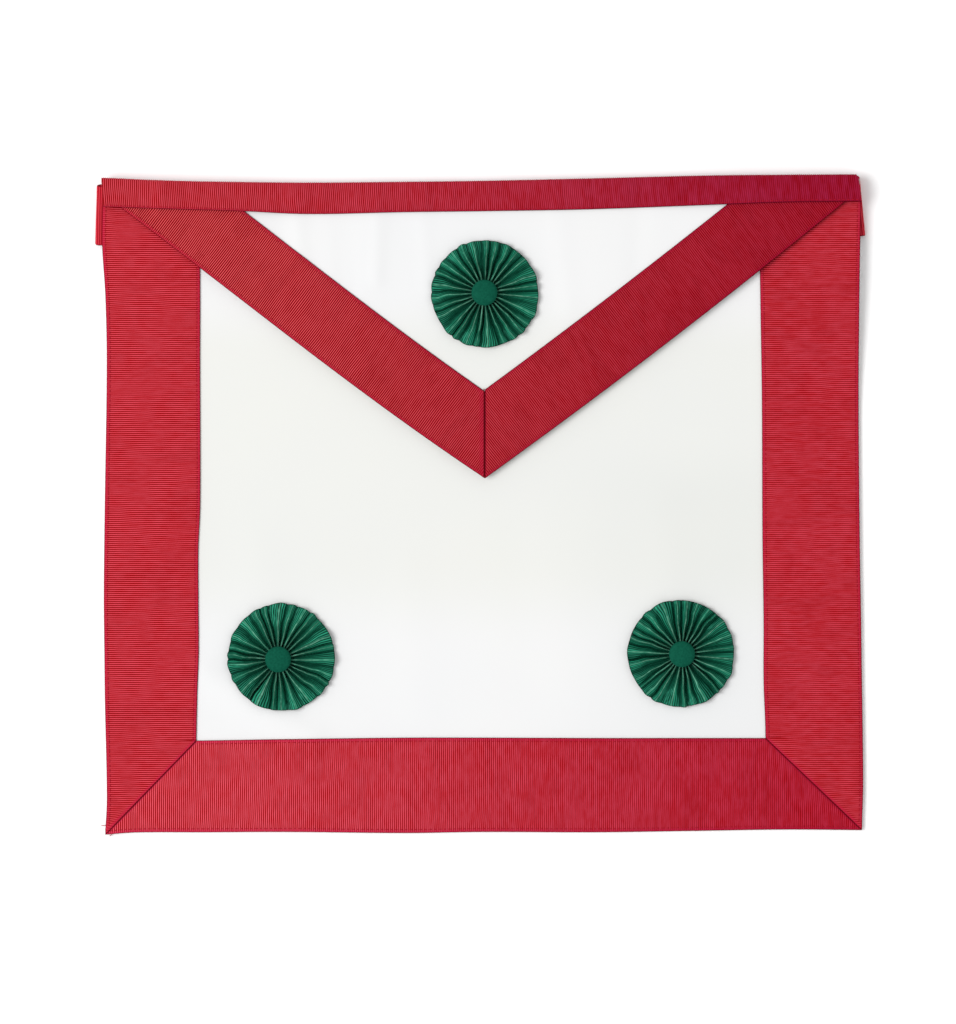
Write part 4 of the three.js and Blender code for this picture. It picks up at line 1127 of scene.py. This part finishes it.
# %% Brushed metal
def brushed_metal(name):
    material, tree, shader = new_finish(name, 0.32)
    shader["Metallic"].default_value = 1.0
    stretched = node(tree, "ShaderNodeMapping", {"Vector": own_place(tree), "Scale": (300.0, 9000.0, 3000.0)})
    lines = noise(stretched.outputs[0], 1.0, 3.0)
    feed(shader["Base Color"], blend_colour(lines, (0.55, 0.55, 0.54), (0.74, 0.74, 0.72)))
    feed(shader["Roughness"], ranged(lines, 0.2, 0.8, 0.26, 0.44))
    relief(shader, lines, 0.1, 0.02)
    return material


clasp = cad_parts["belt_clasp"]
clasp.data.materials.clear()
clasp.data.materials.append(brushed_metal("brushed_metal"))

# %% [markdown]
# ## Put the pieces on the body
# Each piece rides on the apron's one body, and the solid that it stands for is hidden.

# %% What stands for what
STANDS_FOR = {
    "white_leather": {"body_panel": white_panel, "flap_panel": flap},
    "red_ribbon": {"border_left": border_left, "border_right": border_right, "border_bottom": border_foot,
                   "flap_border_left": flap_ribbon_left, "flap_border_right": flap_ribbon_right,
                   "top_band": top_band},
    "red_belt": {"belt_left": belt_left, "belt_right": belt_right},
    "green_ribbon": {f"rosette_{at}_pleats": piece for at, piece in rosettes.items()},
    "green_button": {f"rosette_{at}_button": piece for at, piece in buttons.items()},
}
for finish_slot, solids in STANDS_FOR.items():
    for solid, piece in solids.items():
        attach(piece, "root")
        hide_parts(solid)
for piece in (border_stitches, flap_stitches, band_stitches, seam_stitches, mitre_stitches, loose_ends):
    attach(piece, "root")
print("solids dressed:", sum(len(solids) for solids in STANDS_FOR.values()))

# %% [markdown]
# ## Floor, light and camera
# The apron lies on a pale floor under a large soft lamp from the left, with light from all round to
# fill the shade. The camera looks straight down through a long lens from far away, so that the edges
# stay parallel, as in a catalogue picture.

# %% A pale floor
bpy.ops.mesh.primitive_plane_add(size=12, location=(0, 0, -0.0002))
floor = bpy.context.object
floor.name = "floor"
floor_finish, _, floor_shader = new_finish("pale_floor", 0.9, 0.0)
floor_shader["Base Color"].default_value = (0.97, 0.97, 0.97, 1)
floor.data.materials.append(floor_finish)

# %% The lamp and the surrounding light
lamp = bpy.data.lights.new("key", "AREA")
lamp.shape, lamp.size, lamp.energy = "DISK", 5.0, 443
holder = add_object("key", lamp)
holder.location = (-4.6, 0.0, 6.3)
holder.rotation_euler = (-holder.location).to_track_quat("-Z", "Y").to_euler()
world = bpy.data.worlds.new("pale_room")
world.use_nodes = True
world.node_tree.nodes["Background"].inputs["Color"].default_value = (1, 1, 1, 1)
world.node_tree.nodes["Background"].inputs["Strength"].default_value = 0.73
bpy.context.scene.world = world
bpy.context.scene.view_settings.view_transform = "Standard"

# %% A camera straight above, framed as the photograph is
FRAME_HEIGHT, CAMERA_HEIGHT, SENSOR = 0.5504, 6.0, 36.0
lens = bpy.data.cameras.new("camera")
lens.sensor_width, lens.lens = SENSOR, SENSOR * CAMERA_HEIGHT / FRAME_HEIGHT
lens.clip_start, lens.clip_end = 0.1, 30
camera = add_object("camera", lens)
camera.location = (-2.365 * MM + shift_x, 171.355 * MM + shift_y, CAMERA_HEIGHT)
bpy.context.scene.camera = camera
print("lens:", round(lens.lens), "mm")
